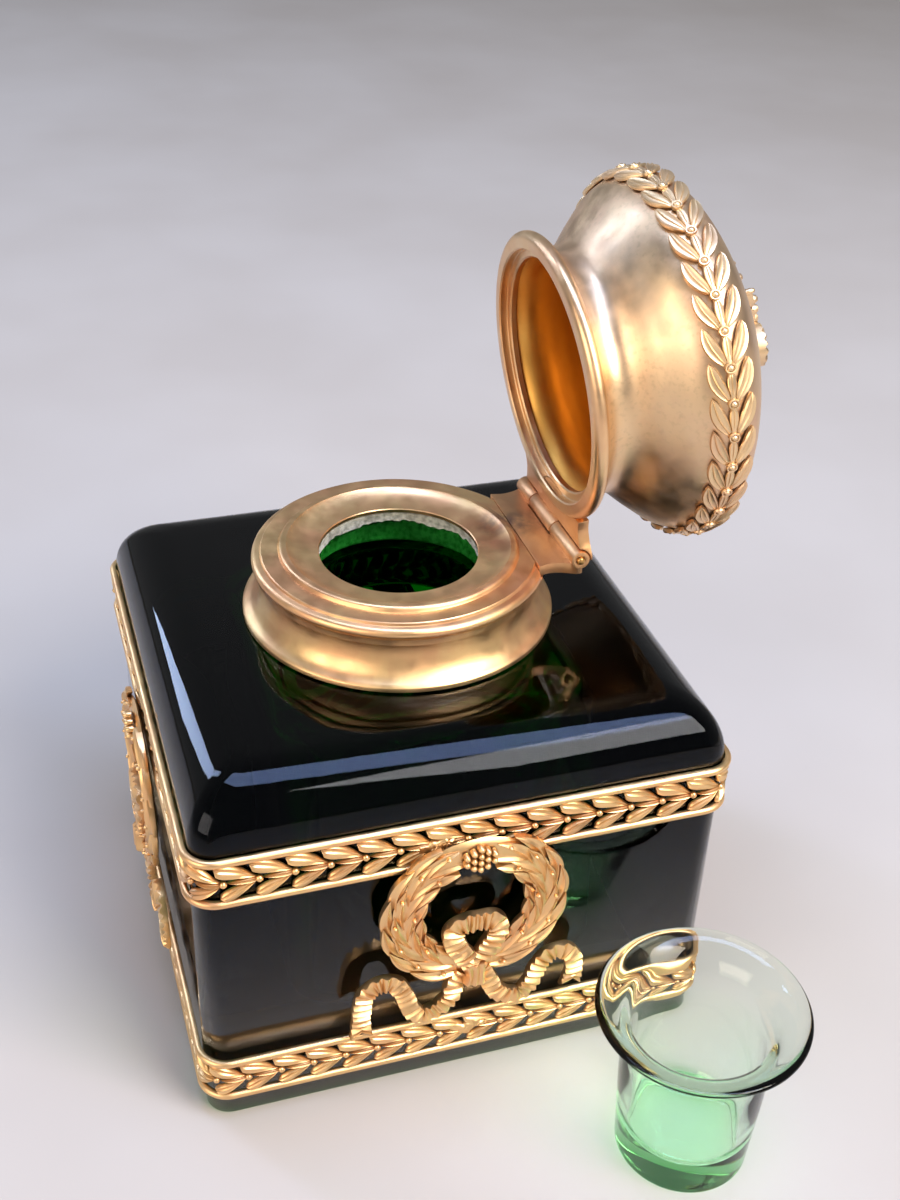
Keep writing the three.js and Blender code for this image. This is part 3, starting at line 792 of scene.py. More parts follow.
# ---- the crystal block ----
@dataclass
class CrystalBlock:
    """The square block with its rolled top edges, neck and hollow."""

    finish: Glass
    half: float
    height: float
    corner: float = 4.5
    chamfer: float = 0.8
    cushion: float = 11.0
    neck: tuple[float, float] = (20.0, 16.0)
    neck_top: float = 85.2
    shoulder: float = 67.0
    floor: float = 13.0
    well: tuple[float, float] = (30.0, 10.0)

    def outline(self, half: float, corner: float, height: float) -> np.ndarray:
        """One level square ring with round corners.

        Args:
            half: Half its width.
            corner: Its corners' radius.
            height: How high it lies.

        Returns:
            Its points, anticlockwise from the middle of a corner.
        """
        side = np.linspace(-1, 1, 25)[1:-1]
        turn = np.radians(np.linspace(0, 90, 13))
        flat = half - corner
        quarter = np.vstack([
            np.column_stack([flat + corner * np.cos(turn), flat + corner * np.sin(turn)]),
            np.column_stack([-flat * side, half + 0 * side]),
        ])
        rings = []
        for step in range(4):
            cosine, sine = round(math.cos(step * math.pi / 2)), round(math.sin(step * math.pi / 2))
            rings.append(quarter @ np.array([[cosine, sine], [-sine, cosine]]))
        ring = np.vstack(rings)
        return np.column_stack([ring, np.full(len(ring), height)])

    def circle(self, radius: float, height: float) -> np.ndarray:
        """One level round ring whose points face those of the square rings.

        Args:
            radius: Its radius.
            height: How high it lies.

        Returns:
            Its points.
        """
        guide = self.outline(self.half, self.corner, 0)
        angles = np.arctan2(guide[:, 1], guide[:, 0])
        level = np.full(len(guide), height)
        return np.column_stack([radius * np.cos(angles), radius * np.sin(angles), level])

    def build(self) -> None:
        """Makes the block."""
        outer, inner = self.neck
        rings = [
            self.outline(self.half - self.chamfer, self.corner - self.chamfer, 0),
            self.outline(self.half, self.corner, self.chamfer),
            self.outline(self.half, self.corner, self.height - self.cushion - 4),
        ]
        for angle in np.radians(np.linspace(0, 90, 19)):
            inset = self.cushion * (1 - math.cos(angle))
            level = self.height - self.cushion * (1 - math.sin(angle))
            rings.append(self.outline(self.half - inset, self.corner - 0.15 * inset, level))
        rings.append(self.outline(self.half - self.cushion - 4, self.corner, self.height))
        for radius, level in arc((outer + 1.2, self.height + 1.2), 1.2, 270, 180, 7):
            rings.append(self.circle(radius, level))
        for radius, level in [*arc((outer - 0.8, self.neck_top - 0.8), 0.8, 0, 90, 5),
                              *arc((inner + 0.8, self.neck_top - 0.8), 0.8, 90, 180, 5)]:
            rings.append(self.circle(radius, level))
        for radius, level in smooth_line([[inner, self.shoulder + 6], [inner + 0.3, self.shoulder + 3],
                                          [inner + 2, self.shoulder + 1], [inner + 6, self.shoulder]], 9):
            rings.append(self.circle(radius, level))
        half, corner = self.well
        # The last six rings of the neck's flare belong to the moulded hollow too.
        well_start = len(rings) - 6
        for angle in np.radians(np.linspace(90, 0, 9)):
            inset = 5.5 * (1 - math.cos(angle))
            level = self.shoulder - 6 + 5.2 * math.sin(angle)
            rings.append(self.outline(half - inset, corner + 0.5 * inset, level))
        for level in np.linspace(self.shoulder - 10, self.floor + 6, 12):
            rings.append(self.outline(half, corner, level))
        for angle in np.radians(np.linspace(0, 90, 7)):
            inset = 6 * (1 - math.cos(angle))
            level = self.floor + 6 * (1 - math.sin(angle))
            rings.append(self.outline(half - inset, corner - 0.3 * inset, level))
        rows = np.stack(rings)
        # The hollow was blown into a mould, so its walls wander a little.
        inside = rows[well_start:]
        reach = np.linalg.norm(inside[..., :2], axis=-1, keepdims=True)
        inside[..., :2] *= 1 + ripple(inside, 18.0, 0.3, 3.7)[..., None] / reach
        shell = Shell()
        shell.grid(rows)
        piece = shell.build("crystal_block", [self.finish.material()], crease=50)
        settle(piece, Body.BASE, Slot.CRYSTAL, "glass_block")


# ---- the collar and its bedding ----
@dataclass
class Collar:
    """The turned ring on the block's neck, bedded on plaster."""

    finish: GiltMetal
    bedding: SetPlaster
    block_top: float
    foot: float = 29.4
    waist: float = 26.1
    shelf: float = 88.1
    lip: float = 22.4
    hole: float = 14.9
    neck: float = 20.0
    bore: float = 16.0
    neck_top: float = 85.2
    chord: float = 22.9
    leaf_top: float = 88.3

    def profile(self) -> list[list[float]]:
        """The collar's outline, up the outside, over the dish and down the inside.

        Returns:
            Its [radius, height] points.
        """
        top = self.block_top
        cove = smooth_line([[self.foot - 0.1, top + 1.3], [27.8, top + 2.5], [26.7, top + 4.4],
                            [26.15, top + 6.4], [self.waist, top + 8.0]], 12)
        dish = smooth_line([[20.8, self.shelf + 0.7], [19.6, self.shelf + 0.05], [18.2, self.shelf - 0.35],
                            [16.6, self.shelf - 0.58], [15.5, self.shelf - 0.7]], 10)
        return [
            [self.foot - 1.9, top + 0.3],
            [self.foot - 0.15, top + 0.3],
            [self.foot, top + 0.45],
            [self.foot, top + 1.1],
            *cove.tolist(),
            [26.2, top + 8.4],
            [26.75, top + 8.6],
            [26.75, top + 9.3],
            *arc((26.35, top + 10.9), 1.13, -65, 80, 12),
            [25.9, top + 12.15],
            [25.75, self.shelf - 0.12],
            [25.6, self.shelf],
            [self.lip + 0.15, self.shelf],
            *arc((self.lip - 0.75, self.shelf + 0.1), 0.75, 10, 100, 6),
            [self.lip - 1.45, self.shelf + 0.85],
            *dish.tolist(),
            [self.hole + 0.15, self.shelf - 0.74],
            [self.hole, self.shelf - 0.9],
            [self.hole, self.shelf - 1.5],
            [24.5, self.shelf - 1.5],
            [24.5, top + 5],
        ]

    def build(self) -> None:
        """Makes the collar and the plaster inside it."""
        ring = Shell()
        ring.turned(self.profile(), 180)
        blank = ring.build("collar_blank", [])
        room = block_tool("leaf_room", (-15.2, self.chord - 0.12, self.leaf_top - 2.35), (15.2, 36.0, 95.0))
        piece = cut("turned_collar", blank, [], [room], self.finish.material())
        settle(piece, Body.BASE, Slot.GILT_BRONZE, "collar")

        inner, outer = self.neck + 0.35, 24.1
        low, high = self.block_top + 1.6, self.shelf - 1.85
        lip = self.hole + 0.32
        coarse = [[inner + 1.1, low], [outer, low], [outer, high - 1], [self.chord - 0.65, high - 0.7],
                  [self.chord - 0.65, high], [lip + 0.3, high], [lip, high - 0.3],
                  [lip, self.neck_top - 1.1], [self.bore - 0.32, self.neck_top - 1.1],
                  [self.bore - 0.32, self.neck_top + 0.35], [inner, self.neck_top + 0.35], [inner, low + 1]]
        profile = densely(coarse, 0.45)
        radius, height = profile[:, 0], profile[:, 1]
        rows = revolved(profile, 300)
        # Its skirt inside the neck was wiped off by hand, so its lower edge is ragged.
        skirt = (radius < self.bore) & (height < self.neck_top + 0.2)
        ragged = ripple(rows, 6.0, 0.9, 2.3) + ripple(rows, 1.5, 0.6, 4.1) + ripple(rows, 0.8, 0.3, 6.6)
        share = (self.neck_top + 0.2 - height) / 1.3
        rows[..., 2] += np.clip(ragged + 0.15, -0.1, 0.95) * share * skirt
        face = (radius < lip + 0.05) & (height > self.neck_top - 0.8)
        rows[..., :2] *= 1 + (np.abs(ripple(rows, 0.9, 0.45, 5.2)) * face)[..., None] / 16
        shell = Shell()
        shell.grid(rows, ring=True)
        piece = shell.build("neck_plaster", [self.bedding.material()], crease=80)
        settle(piece, Body.BASE, Slot.PLASTER, "neck_cement")


def densely(profile: Profile, step: float) -> np.ndarray:
    """Adds points along a closed profile's straight runs.

    Args:
        profile: Its corner points.
        step: The greatest distance between points.

    Returns:
        The corners and the added points.
    """
    corners = np.asarray(profile, float)
    parts = []
    for here, ahead in zip(corners, np.roll(corners, -1, axis=0)):
        count = max(1, math.ceil(float(np.linalg.norm(ahead - here)) / step))
        parts.append(here + (ahead - here) * np.linspace(0, 1, count, endpoint=False)[:, None])
    return np.vstack(parts)


def block_tool(name: str, low: Sequence[float], high: Sequence[float]) -> bpy.types.Object:
    """A box-shaped cutting tool.

    Args:
        name: Its name while it lasts.
        low: Its lowest corner in millimetres.
        high: Its highest corner in millimetres.

    Returns:
        The tool.
    """
    (x0, y0, z0), (x1, y1, z1) = low, high
    rows = np.array([[[x, y0, z0], [x, y1, z0], [x, y1, z1], [x, y0, z1]] for x in (x0, x1)], float)
    shell = Shell()
    shell.grid(rows)
    return shell.build(name, [])


# ---- the hinge ----
@dataclass
class Hinge:
    """Two leaves with three knuckles on one pin."""

    finish: GiltMetal
    pin_finish: GiltMetal
    axis: tuple[float, float]
    half: float = 15.0
    knuckle: float = 1.75
    pin: float = 0.8
    gap: float = 0.3
    middle: tuple[float, float] = (-8.0, 3.2)
    chord: float = 22.9
    rim: float = 26.2
    thickness: float = 2.1

    def rod(self, name: str, radius: float, span: Sequence[float], steps: int = 40) -> bpy.types.Object:
        """A round bar on the hinge's axis.

        Args:
            name: Its name.
            radius: Its radius.
            span: Where it starts and ends along X.
            steps: How many facets go round.

        Returns:
            The bar.
        """
        angles = np.linspace(0, FULL_TURN, steps, endpoint=False)
        y = self.axis[0] + radius * np.cos(angles)
        z = self.axis[1] + radius * np.sin(angles)
        rows = np.stack([np.column_stack([np.full(steps, x), y, z]) for x in span])
        shell = Shell()
        shell.grid(rows)
        return shell.build(name, [])

    def plate(self, name: str, low: float) -> bpy.types.Object:
        """A leaf's flat: straight towards the rim, waisted at its sides, with ears at the barrel.

        Args:
            name: Its name.
            low: The height of its underside.

        Returns:
            The plate.
        """
        corner = math.sqrt(self.rim**2 - self.chord**2) + 1.2
        side = smooth_line([[corner, self.chord], [corner - 0.45, self.chord + 2.2],
                            [corner - 0.1, self.chord + 4.4], [self.half - 0.5, self.axis[0] - 1.6],
                            [self.half, self.axis[0] - 0.4], [self.half - 0.15, self.axis[0] + 0.5]], 18)
        outline = np.vstack([side, side[::-1] * [-1, 1]])
        levels = (low, low + self.thickness)
        rows = np.stack([np.column_stack([outline, np.full(len(outline), z)]) for z in levels])
        shell = Shell()
        shell.grid(rows)
        return shell.build(name, [])

    def leaf(self, name: str, low: float, own: Sequence[Sequence[float]],
             other: Sequence[Sequence[float]]) -> bpy.types.Object:
        """A leaf with its own knuckles, and room for the other leaf's knuckles and the pin.

        Args:
            name: The piece's name.
            low: The height of its flat's underside.
            own: Where its own knuckles are along X.
            other: Where the other leaf's knuckles are along X.

        Returns:
            The leaf.
        """
        blank = cut("leaf_blank", self.plate("plate", low), [],
                    [self.rod("room", self.knuckle + self.gap, span) for span in other], self.finish_material)
        knuckles = [self.rod("knuckle", self.knuckle, span) for span in own]
        bore = self.rod("bore", self.pin + 0.12, (-self.half - 1, self.half + 1), 24)
        return cut(name, blank, knuckles, [bore], self.finish_material, bevel=0.22)

    def build(self, swing: Swing) -> None:
        """Makes both leaves and the pin.

        Args:
            swing: The lid's swing.
        """
        self.finish_material = self.finish.material()
        start, end = self.middle
        half_gap = self.gap / 2
        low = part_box("collar_hinge_leaf")[0].z / MM
        piece = self.leaf("collar_leaf", low, [(-self.half, start - half_gap), (end + half_gap, self.half)],
                          [(start - half_gap, end + half_gap)])
        settle(piece, Body.BASE, Slot.GILT_BRONZE, "collar_hinge_leaf")
        piece = self.leaf("lid_leaf", self.axis[1] + 0.2, [(start + half_gap, end - half_gap)],
                          [(-self.half - 1, start + half_gap), (end - half_gap, self.half + 1)])
        piece.data.transform(swing.opened())
        settle(piece, Body.LID, Slot.GILT_BRONZE, "lid_hinge_leaf")

        reach = self.half + 0.58
        ends = [[0.0, 0.0], [0.35, 0.02], [0.62, 0.12], [self.pin - 0.02, 0.4]]
        profile = [[r, -reach + x] for r, x in ends] + [[r, reach - x] for r, x in ends[::-1]]
        angles = np.linspace(0, FULL_TURN, 24, endpoint=False)[:, None]
        radius = np.array(profile)[:, 0]
        length = np.array(profile)[:, 1]
        rows = np.stack([length + 0 * angles, self.axis[0] + radius * np.cos(angles),
                         self.axis[1] + radius * np.sin(angles)], axis=-1)
        shell = Shell()
        shell.grid(rows, ring=True, loop=False)
        piece = shell.build("drawn_pin", [self.pin_finish.material()])
        settle(piece, Body.BASE, Slot.BRASS_PIN, "hinge_pin")


# ---- the galleries ----
@dataclass
class Gallery:
    """A pierced band round the block: two wires with pairs of laurel leaves between them."""

    name: str
    node: str
    finish: bpy.types.Material
    half: float
    low: float
    high: float
    phase: float
    solder: tuple[float, float]
    corner: float = 4.5
    inset: float = 0.3
    depth: float = 1.5
    wire: float = 1.5
    pairs: int = 64

    def around(self, along: np.ndarray, up: np.ndarray, out: np.ndarray) -> np.ndarray:
        """Carries a place on the band to the block's axes.

        Args:
            along: The distance round the block, anticlockwise from the middle of the +X side.
            up: The height.
            out: The height off the glass.

        Returns:
            The points.
        """
        flat = self.half - self.corner
        bend = self.bend_radius * math.pi / 2
        quarter = 2 * flat + bend
        turns, rest = np.divmod(along + 0 * out, quarter)
        angle = np.clip((rest - flat) / bend, 0, 1) * math.pi / 2
        before = np.minimum(rest, flat) - flat
        after = np.maximum(rest - flat - bend, 0)
        x = flat + (self.corner + out) * np.cos(angle) - after
        y = flat + (self.corner + out) * np.sin(angle) + before
        spin = turns * math.pi / 2
        return np.stack([x * np.cos(spin) - y * np.sin(spin), x * np.sin(spin) + y * np.cos(spin),
                         up + 0 * out + 0 * rest], axis=-1)

    @property
    def bend_radius(self) -> float:
        """The radius, inside the band's depth, at which distances round a corner are measured."""
        return self.corner + 1.1

    @property
    def length(self) -> float:
        """The distance once round the band."""
        return 8 * (self.half - self.corner) + self.bend_radius * FULL_TURN

    def rail(self, shell: Shell, middle: float) -> None:
        """Adds one edge wire.

        Args:
            shell: The band.
            middle: The height of the wire's centre.
        """
        along = np.linspace(0, self.length, 720, endpoint=False)[:, None]
        turn = np.radians(np.linspace(-25, 205, 12))
        radius = self.wire / 2
        reach = self.depth - self.inset - 0.02
        up = middle + radius * np.cos(turn)
        out = self.inset + 0.3 * reach + 0.7 * reach * np.sin(turn)
        out = np.maximum(out, self.inset)
        rows = self.around(along, up + 0 * along, out + 0 * along)
        # Years of polishing have worn the wires unevenly.
        worn = ripple(rows[:, 5], 7.0, 0.06, middle)
        rows = self.around(along, up + 0 * along, out - 0.03 + 0 * along - np.abs(worn)[:, None])
        shell.grid(rows, ring=True)

    def lump(self, shell: Shell, along: float, up: float, size: Sequence[float]) -> None:
        """Adds a rough patch of solder.

        Args:
            shell: The band.
            along: Where its centre is round the band.
            up: Its height.
            size: Half its length and half its height.
        """
        angles = np.linspace(0, FULL_TURN, 28, endpoint=False)
        ragged = 1 + 0.22 * np.sin(3 * angles + along) + 0.14 * np.sin(7 * angles + up)
        share = np.array([1.0, 0.97, 0.8, 0.5, 0.2, 0.001])[:, None]
        height = np.array([0, 0.55, 0.85, 1.0, 0.94, 0.98])[:, None]
        bumps = 1 + 0.08 * np.sin(5 * angles + 9 * share)
        rows = self.around(along + size[0] * share * ragged * np.cos(angles),
                           up + size[1] * share * ragged * np.sin(angles),
                           self.inset + 0.1 + 0.98 * height * bumps)
        shell.grid(rows)

    def build(self) -> None:
        """Makes the band."""
        shell = Shell()
        middle = (self.low + self.high) / 2
        field_half = (self.high - self.low) / 2 - self.wire
        for centre in (self.low + self.wire / 2, self.high - self.wire / 2):
            self.rail(shell, centre)

        def place(along: np.ndarray, across: np.ndarray, out: np.ndarray) -> np.ndarray:
            """Carries a place beside the band's middle line to the block's axes."""
            return self.around(along, middle + across, out)

        pitch = self.length / self.pairs
        upper = Leaf(length=pitch * 1.24, width=3.15, spread=field_half - 0.5, bow=0.2, relief=0.95,
                     base_power=1.3, tip_power=0.45, steps=13)
        lower = Leaf(length=pitch * 1.08, width=2.35, spread=field_half - 0.3, bow=0.0, relief=0.85,
                     base_power=1.2, tip_power=0.45, steps=13)
        keel = Leaf(length=pitch * 0.9, width=1.1, spread=0.0, start=0.0, relief=0.8, base_power=0.5,
                    tip_power=0.9)
        for index in range(self.pairs):
            at = self.phase + index * pitch
            upper.lay(shell, at, 1, -1, place, self.inset + 0.12)
            lower.lay(shell, at, -1, -1, place, self.inset + 0.1)
            keel.lay(shell, at, 1, -1, place, self.inset + 0.1)
            shell.boss(at + 0.1, 0, [[r, self.inset + 0.1 + h * 0.98] for r, h in BERRY], place, 10)
        at, up = self.solder
        self.lump(shell, at, up, (2.6, 1.5))
        self.lump(shell, at + 2.4, up + 0.6, (1.7, 1.1))
        piece = shell.build(self.name, [self.finish])
        settle(piece, Body.BASE, Slot.GILT_BRONZE, self.node)


# ---- the wreath castings ----
@dataclass
class Wreath:
    """A laurel wreath tied at its foot with a pleated ribbon."""

    finish: bpy.types.Material
    face: float
    height: float = 43.5
    radius: float = 13.2
    band: float = 3.1
    tail_left: Profile = ((-1.6, 28.5), (-3.3, 25.8), (-3.9, 22.6), (-6, 20.3), (-9.2, 19.1), (-11.4, 21.4),
                          (-12.8, 25.8), (-14.8, 28.8), (-18, 29), (-20.1, 26.8), (-20.7, 22.2), (-20.7, 17))
    tail_right: Profile = ((1.6, 28.5), (3.2, 25.4), (4.6, 22), (7, 19.8), (9.8, 19.4), (11.8, 21.8),
                           (13.2, 25.8), (15.2, 28), (18, 28.1), (19.9, 26), (20.3, 22.4), (19.8, 18.6))
    loop: Profile = ((0.4, 30.8), (2, 33.4), (3.4, 35.9), (4.2, 38.2), (3.8, 40.4), (2, 41.2), (0, 41.25),
                     (-2, 41.2), (-3.8, 40.4), (-4.2, 38.2), (-3.4, 35.9), (-2, 33.4), (-0.4, 30.8))

    def flat(self, across: np.ndarray, up: np.ndarray, out: np.ndarray) -> np.ndarray:
        """Carries a place on the casting's plane to the block's axes.

        Args:
            across: The distance to the right of the centre, seen from outside.
            up: The height.
            out: The height off the casting's back.

        Returns:
            The points.
        """
        return np.stack([self.face + out + 0 * across, across + 0 * out, up + 0 * out], axis=-1)

    def branch(self, side: float) -> Place:
        """The place function of one branch, from the tie at the foot to the top.

        Args:
            side: +1 for the right branch and -1 for the left.

        Returns:
            A function of the distance along the branch, the distance outwards, and the height.
        """

        def place(along: np.ndarray, across: np.ndarray, out: np.ndarray) -> np.ndarray:
            """Carries a place on the branch to the block's axes."""
            angle = -math.pi / 2 + side * along / self.radius
            reach = self.radius + across
            return self.flat(reach * np.cos(angle), self.height + reach * np.sin(angle), out)

        return place

    def garland(self, shell: Shell) -> None:
        """Adds the leafy ring.

        Args:
            shell: The casting.
        """
        turn = np.linspace(0, FULL_TURN, 120, endpoint=False)[:, None]
        across = np.linspace(-1, 1, 9)
        rise = 0.35 + 1.0 * np.sqrt(np.maximum(0, 1 - across**2))
        side = np.concatenate([across, across[::-1][1:-1]]) * (self.band - 0.35)
        out = np.concatenate([rise, 0 * across[1:-1]])
        ring = self.branch(1)
        shell.grid(ring(turn * self.radius, side + 0 * turn, out + 0 * turn), ring=True)

        lance = {"tip_power": 1.0, "base_power": 0.8, "section": LANCE_SECTION}
        rows = (
            (Leaf(9.4, 2.7, spread=3.75, start=1.1, bow=0.5, relief=1.15, rise=1.1, **lance), 1, 0.0, 0.4),
            (Leaf(8.6, 2.5, spread=3.4, start=1.1, bow=0.5, relief=1.1, rise=0.9, **lance), -1, 1.2, 0.4),
            (Leaf(9.2, 2.6, spread=1.9, start=-0.2, bow=0.3, relief=1.15, rise=0.6, **lance), 1, 2.3, 0.75),
            (Leaf(8.6, 2.4, spread=1.7, start=-0.2, bow=0.3, relief=1.1, rise=0.5, **lance), -1, 3.9, 0.7),
        )
        step = 5.2
        branch_end = 40.8
        for hand in (1, -1):
            place = self.branch(hand)
            for index in range(8):
                at = 1.0 + index * step
                wobble = 0.3 * math.sin(index * 2.3 + hand)
                for leaf, side, shift, foot in rows:
                    if at + shift + leaf.length < branch_end:
                        leaf.lay(shell, at + shift + wobble * side, side, 1, place, foot)
                small = [[0.6 * r, 1.6 + 0.9 * h] for r, h in BERRY]
                shell.boss(at + 4.2, 1.7, small, place, 8)
                if index % 2:
                    shell.boss(at + 5.4, -1.7, small, place, 8)
        # A cluster of berries where the two branches meet at the top.
        berry = [[0.95 * r, 1.6 + 1.5 * h] for r, h in BERRY]
        top = self.height + self.radius
        cluster = ((0, (-2.4, -0.9, 0.6, 2.1)), (1.25, (-1.9, -0.3, 1.3)), (-1.25, (-1.9, -0.3, 1.3)),
                   (2.5, (-0.9, 0.6)), (-2.5, (-0.9, 0.6)))
        for across, levels in cluster:
            for up in levels:
                shell.boss(across, top + up, berry, self.flat, 10)

    def build(self, node: str, name: str, quarter_turns: int,
              shared: bpy.types.Object | None) -> bpy.types.Object:
        """Makes the casting, or sets a copy of it on another side.

        Args:
            node: The CAD node that it replaces.
            name: The piece's name.
            quarter_turns: How many quarter turns from the +X side.
            shared: A casting that is already made, or None.

        Returns:
            The casting.
        """
        if shared is None:
            shell = Shell()
            self.garland(shell)
            tail = Ribbon(width=3.5, relief=1.3, pleat=1.5, fold=0.36, notch=1.9)
            for points in (self.tail_left, self.tail_right):
                tail.lay(shell, points, self.flat, 0.15, (0.4, 0.0))
            Ribbon(width=4.0, relief=1.7, pleat=1.5, fold=0.36).lay(shell, self.loop, self.flat, 0.9)
            self.knot(shell)
            piece = shell.build(name, [self.finish])
        else:
            piece = bpy.data.objects.new(name, shared.data)
            bpy.context.scene.collection.objects.link(piece)
        piece.matrix_world = Matrix.Rotation(quarter_turns * math.pi / 2, 4, "Z")
        return settle(piece, Body.BASE, Slot.GILT_BRONZE, node)

    def knot(self, shell: Shell) -> None:
        """Adds the block-like knot with its upright creases.

        Args:
            shell: The casting.
        """
        share = np.linspace(0, 1, 15)
        line = np.column_stack([0.25 * np.sin(share * 3), 25.7 + 5.9 * share])
        shape = np.minimum(1, 12 * share * (1 - share)) ** 0.35
        shape = np.maximum(shape, 0.05)
        waist = 1 + 0.1 * np.cos(share * FULL_TURN)
        across = np.linspace(-1, 1, 17)
        crest = (1 - across**6) * (0.93 + 0.07 * np.cos(across * 11))
        section = [[a, max(c, 0.02)] for a, c in zip(across, crest)] + [[0.85, 0], [-0.85, 0]]
        shell.strip(line, 2.45 * shape * waist, section, 3.35 * shape, 0 * share, self.flat, 0.2)


# ---- the lid ----
@dataclass
class Lid:
    """The domed lid with its bead rim, garland and finial."""

    swing: Swing
    outside: GiltMetal
    inside: GiltMetal
    rim_finish: GiltMetal
    chased: bpy.types.Material
    rim_base: float = 88.6
    rim_inner: float = 23.1
    rim_step: float = 21.4
    rim_top: float = 91.4
    chord: float = 22.9
    wall: float = 1.3
    top: float = 126.7
    pairs: int = 35
    garland_height: float = 110.0
    meridian: np.ndarray = field(init=False)
    slopes: np.ndarray = field(init=False)
    reach: np.ndarray = field(init=False)

    def __post_init__(self) -> None:
        """Draws the bowl's outside line from its neck to the crown."""
        knots = [[23.9, self.rim_top + 0.3], [22.7, 93.6], [23.1, 96.8], [27.2, 101], [31.2, 105.6],
                 [32.9, 111], [30.6, 115.6], [22.6, 120.4], [11.3, 124.9], [0, self.top - 0.05],
                 [-11.3, 124.9]]
        line = smooth_line(knots, 900)
        line = line[line[:, 0] >= 0]
        line = np.vstack([line, [0, line[-1, 1]]])
        slope = np.gradient(line, axis=0)
        self.meridian = line
        self.slopes = slope / np.linalg.norm(slope, axis=1, keepdims=True)
        self.reach = np.concatenate([[0], np.cumsum(np.linalg.norm(np.diff(line, axis=0), axis=1))])

    def on_bowl(self, angle: np.ndarray, up: np.ndarray, out: np.ndarray) -> np.ndarray:
        """Carries a place on the bowl to the closed lid's axes.

        Args:
            angle: The angle round the lid in radians.
            up: The distance up the bowl from its neck.
            out: The height off the metal.

        Returns:
            The points.
        """
        up = up + 0 * out + 0 * angle
        radius, height = (np.interp(up, self.reach, axis) for axis in self.meridian.T)
        run, climb = (np.interp(up, self.reach, axis) for axis in self.slopes.T)
        radius = radius + climb * out
        return np.stack([radius * np.cos(angle), radius * np.sin(angle), height - run * out], axis=-1)

    def rim(self) -> bpy.types.Object:
        """Makes the rounded bead with its inner step."""
        base = self.rim_base
        shell = Shell()
        shell.turned([
            [self.rim_inner, base + 0.25],
            [self.rim_inner + 0.25, base],
            [24.5, base],
            *arc((24.8, base + 1.38), 1.38, -85, 80, 14),
            [24.6, self.rim_top],
            [self.rim_step, self.rim_top],
            [self.rim_step, base + 1.85],
            [self.rim_step + 0.25, base + 1.6],
            [self.rim_inner - 0.15, base + 1.6],
            [self.rim_inner, base + 1.45],
        ], 180)
        blank = shell.build("rim_blank", [])
        room = block_tool("leaf_room", (-15.2, self.chord - 0.12, base + 0.45), (15.2, 36.0, 95.0))
        return cut("lid_bead_rim", blank, [], [room], self.rim_finish.material(self.swing))

    def bowl(self) -> bpy.types.Object:
        """Makes the spun bowl, satin outside and orange inside."""
        stations = np.linspace(0, self.reach[-1], 64)
        outer = np.column_stack([np.interp(stations, self.reach, axis) for axis in self.meridian.T])
        slopes = np.column_stack([np.interp(stations, self.reach, axis) for axis in self.slopes.T])
        inner = outer + self.wall * np.column_stack([-slopes[:, 1], slopes[:, 0]])
        inner[0] = [outer[0][0] - self.wall - 0.7, outer[0][1]]
        inner[-1] = [0, self.top - self.wall - 0.05]
        inner[:, 0] = np.maximum(inner[:, 0], 0)
        shell = Shell()
        shell.turned(outer, 180, closed=False, mark=0)
        shell.turned(np.vstack([inner[::-1], outer[:1]]), 180, closed=False, mark=1)
        finishes = [self.outside.material(self.swing), self.inside.material(self.swing)]
        return shell.build("lid_bowl", finishes, crease=50)

    def garland(self) -> bpy.types.Object:
        """Makes the band of leaf pairs with a ringed berry between each two."""
        # The garland sits well below the crown, so the flat top of the outline isn't searched.
        below_crown = slice(0, 700)
        middle = float(np.interp(self.garland_height, self.meridian[below_crown, 1], self.reach[below_crown]))
        radius = float(np.interp(middle, self.reach, self.meridian[:, 0]))

        def place(along: np.ndarray, across: np.ndarray, out: np.ndarray) -> np.ndarray:
            """Carries a place beside the garland's middle line to the lid's axes."""
            return self.on_bowl(along / radius, middle + across, out)

        shell = Shell()
        turn = np.linspace(0, FULL_TURN * radius, 210, endpoint=False)[:, None]
        side = np.array([-0.5, -0.4, 0, 0.4, 0.5, 0])
        out = np.array([0.3, 0.62, 0.75, 0.62, 0.3, 0.3])
        shell.grid(place(turn, side + 0 * turn, out + 0 * turn), ring=True)
        pitch = FULL_TURN * radius / self.pairs
        leaf = Leaf(length=pitch * 1.16, width=2.45, spread=3.2, start=0.5, bow=0.4, relief=0.72, rise=0.4,
                    base_power=0.75, tip_power=0.72, steps=12)
        keel = Leaf(length=pitch * 0.85, width=1.5, spread=0.0, start=0.0, relief=0.5, rise=0.1,
                    base_power=0.9, tip_power=0.5)
        for index in range(self.pairs):
            at = index * pitch
            leaf.lay(shell, at, 1, -1, place, 0.3)
            leaf.lay(shell, at, -1, -1, place, 0.3)
            keel.lay(shell, at, 1, -1, place, 0.35)
            berry = [[0.92 * r, 0.4 + 1.15 * h] for r, h in RINGED_BERRY]
            shell.boss(at + 0.25, 0, berry, place, 14)
        return shell.build("lid_laurel_band", [self.chased])

    def crown(self, across: np.ndarray, along: np.ndarray, out: np.ndarray) -> np.ndarray:
        """Carries a place on the crown, seen from above, to the closed lid's axes."""
        far = np.hypot(across, along)
        return self.on_bowl(np.arctan2(along, across) + 0 * out, self.reach[-1] - far, out)

    def finial(self) -> bpy.types.Object:
        """Makes the bow and crossed laurel sprigs on the crown."""
        shell = Shell()

        def turned(angle: float) -> Place:
            """A place function that looks outwards from the crown in one direction."""
            cosine, sine = math.cos(math.radians(angle)), math.sin(math.radians(angle))

            def place(along: np.ndarray, across: np.ndarray, out: np.ndarray) -> np.ndarray:
                """Carries a place along that direction to the lid's axes."""
                return self.crown(along * cosine - across * sine, along * sine + across * cosine, out)

            return place

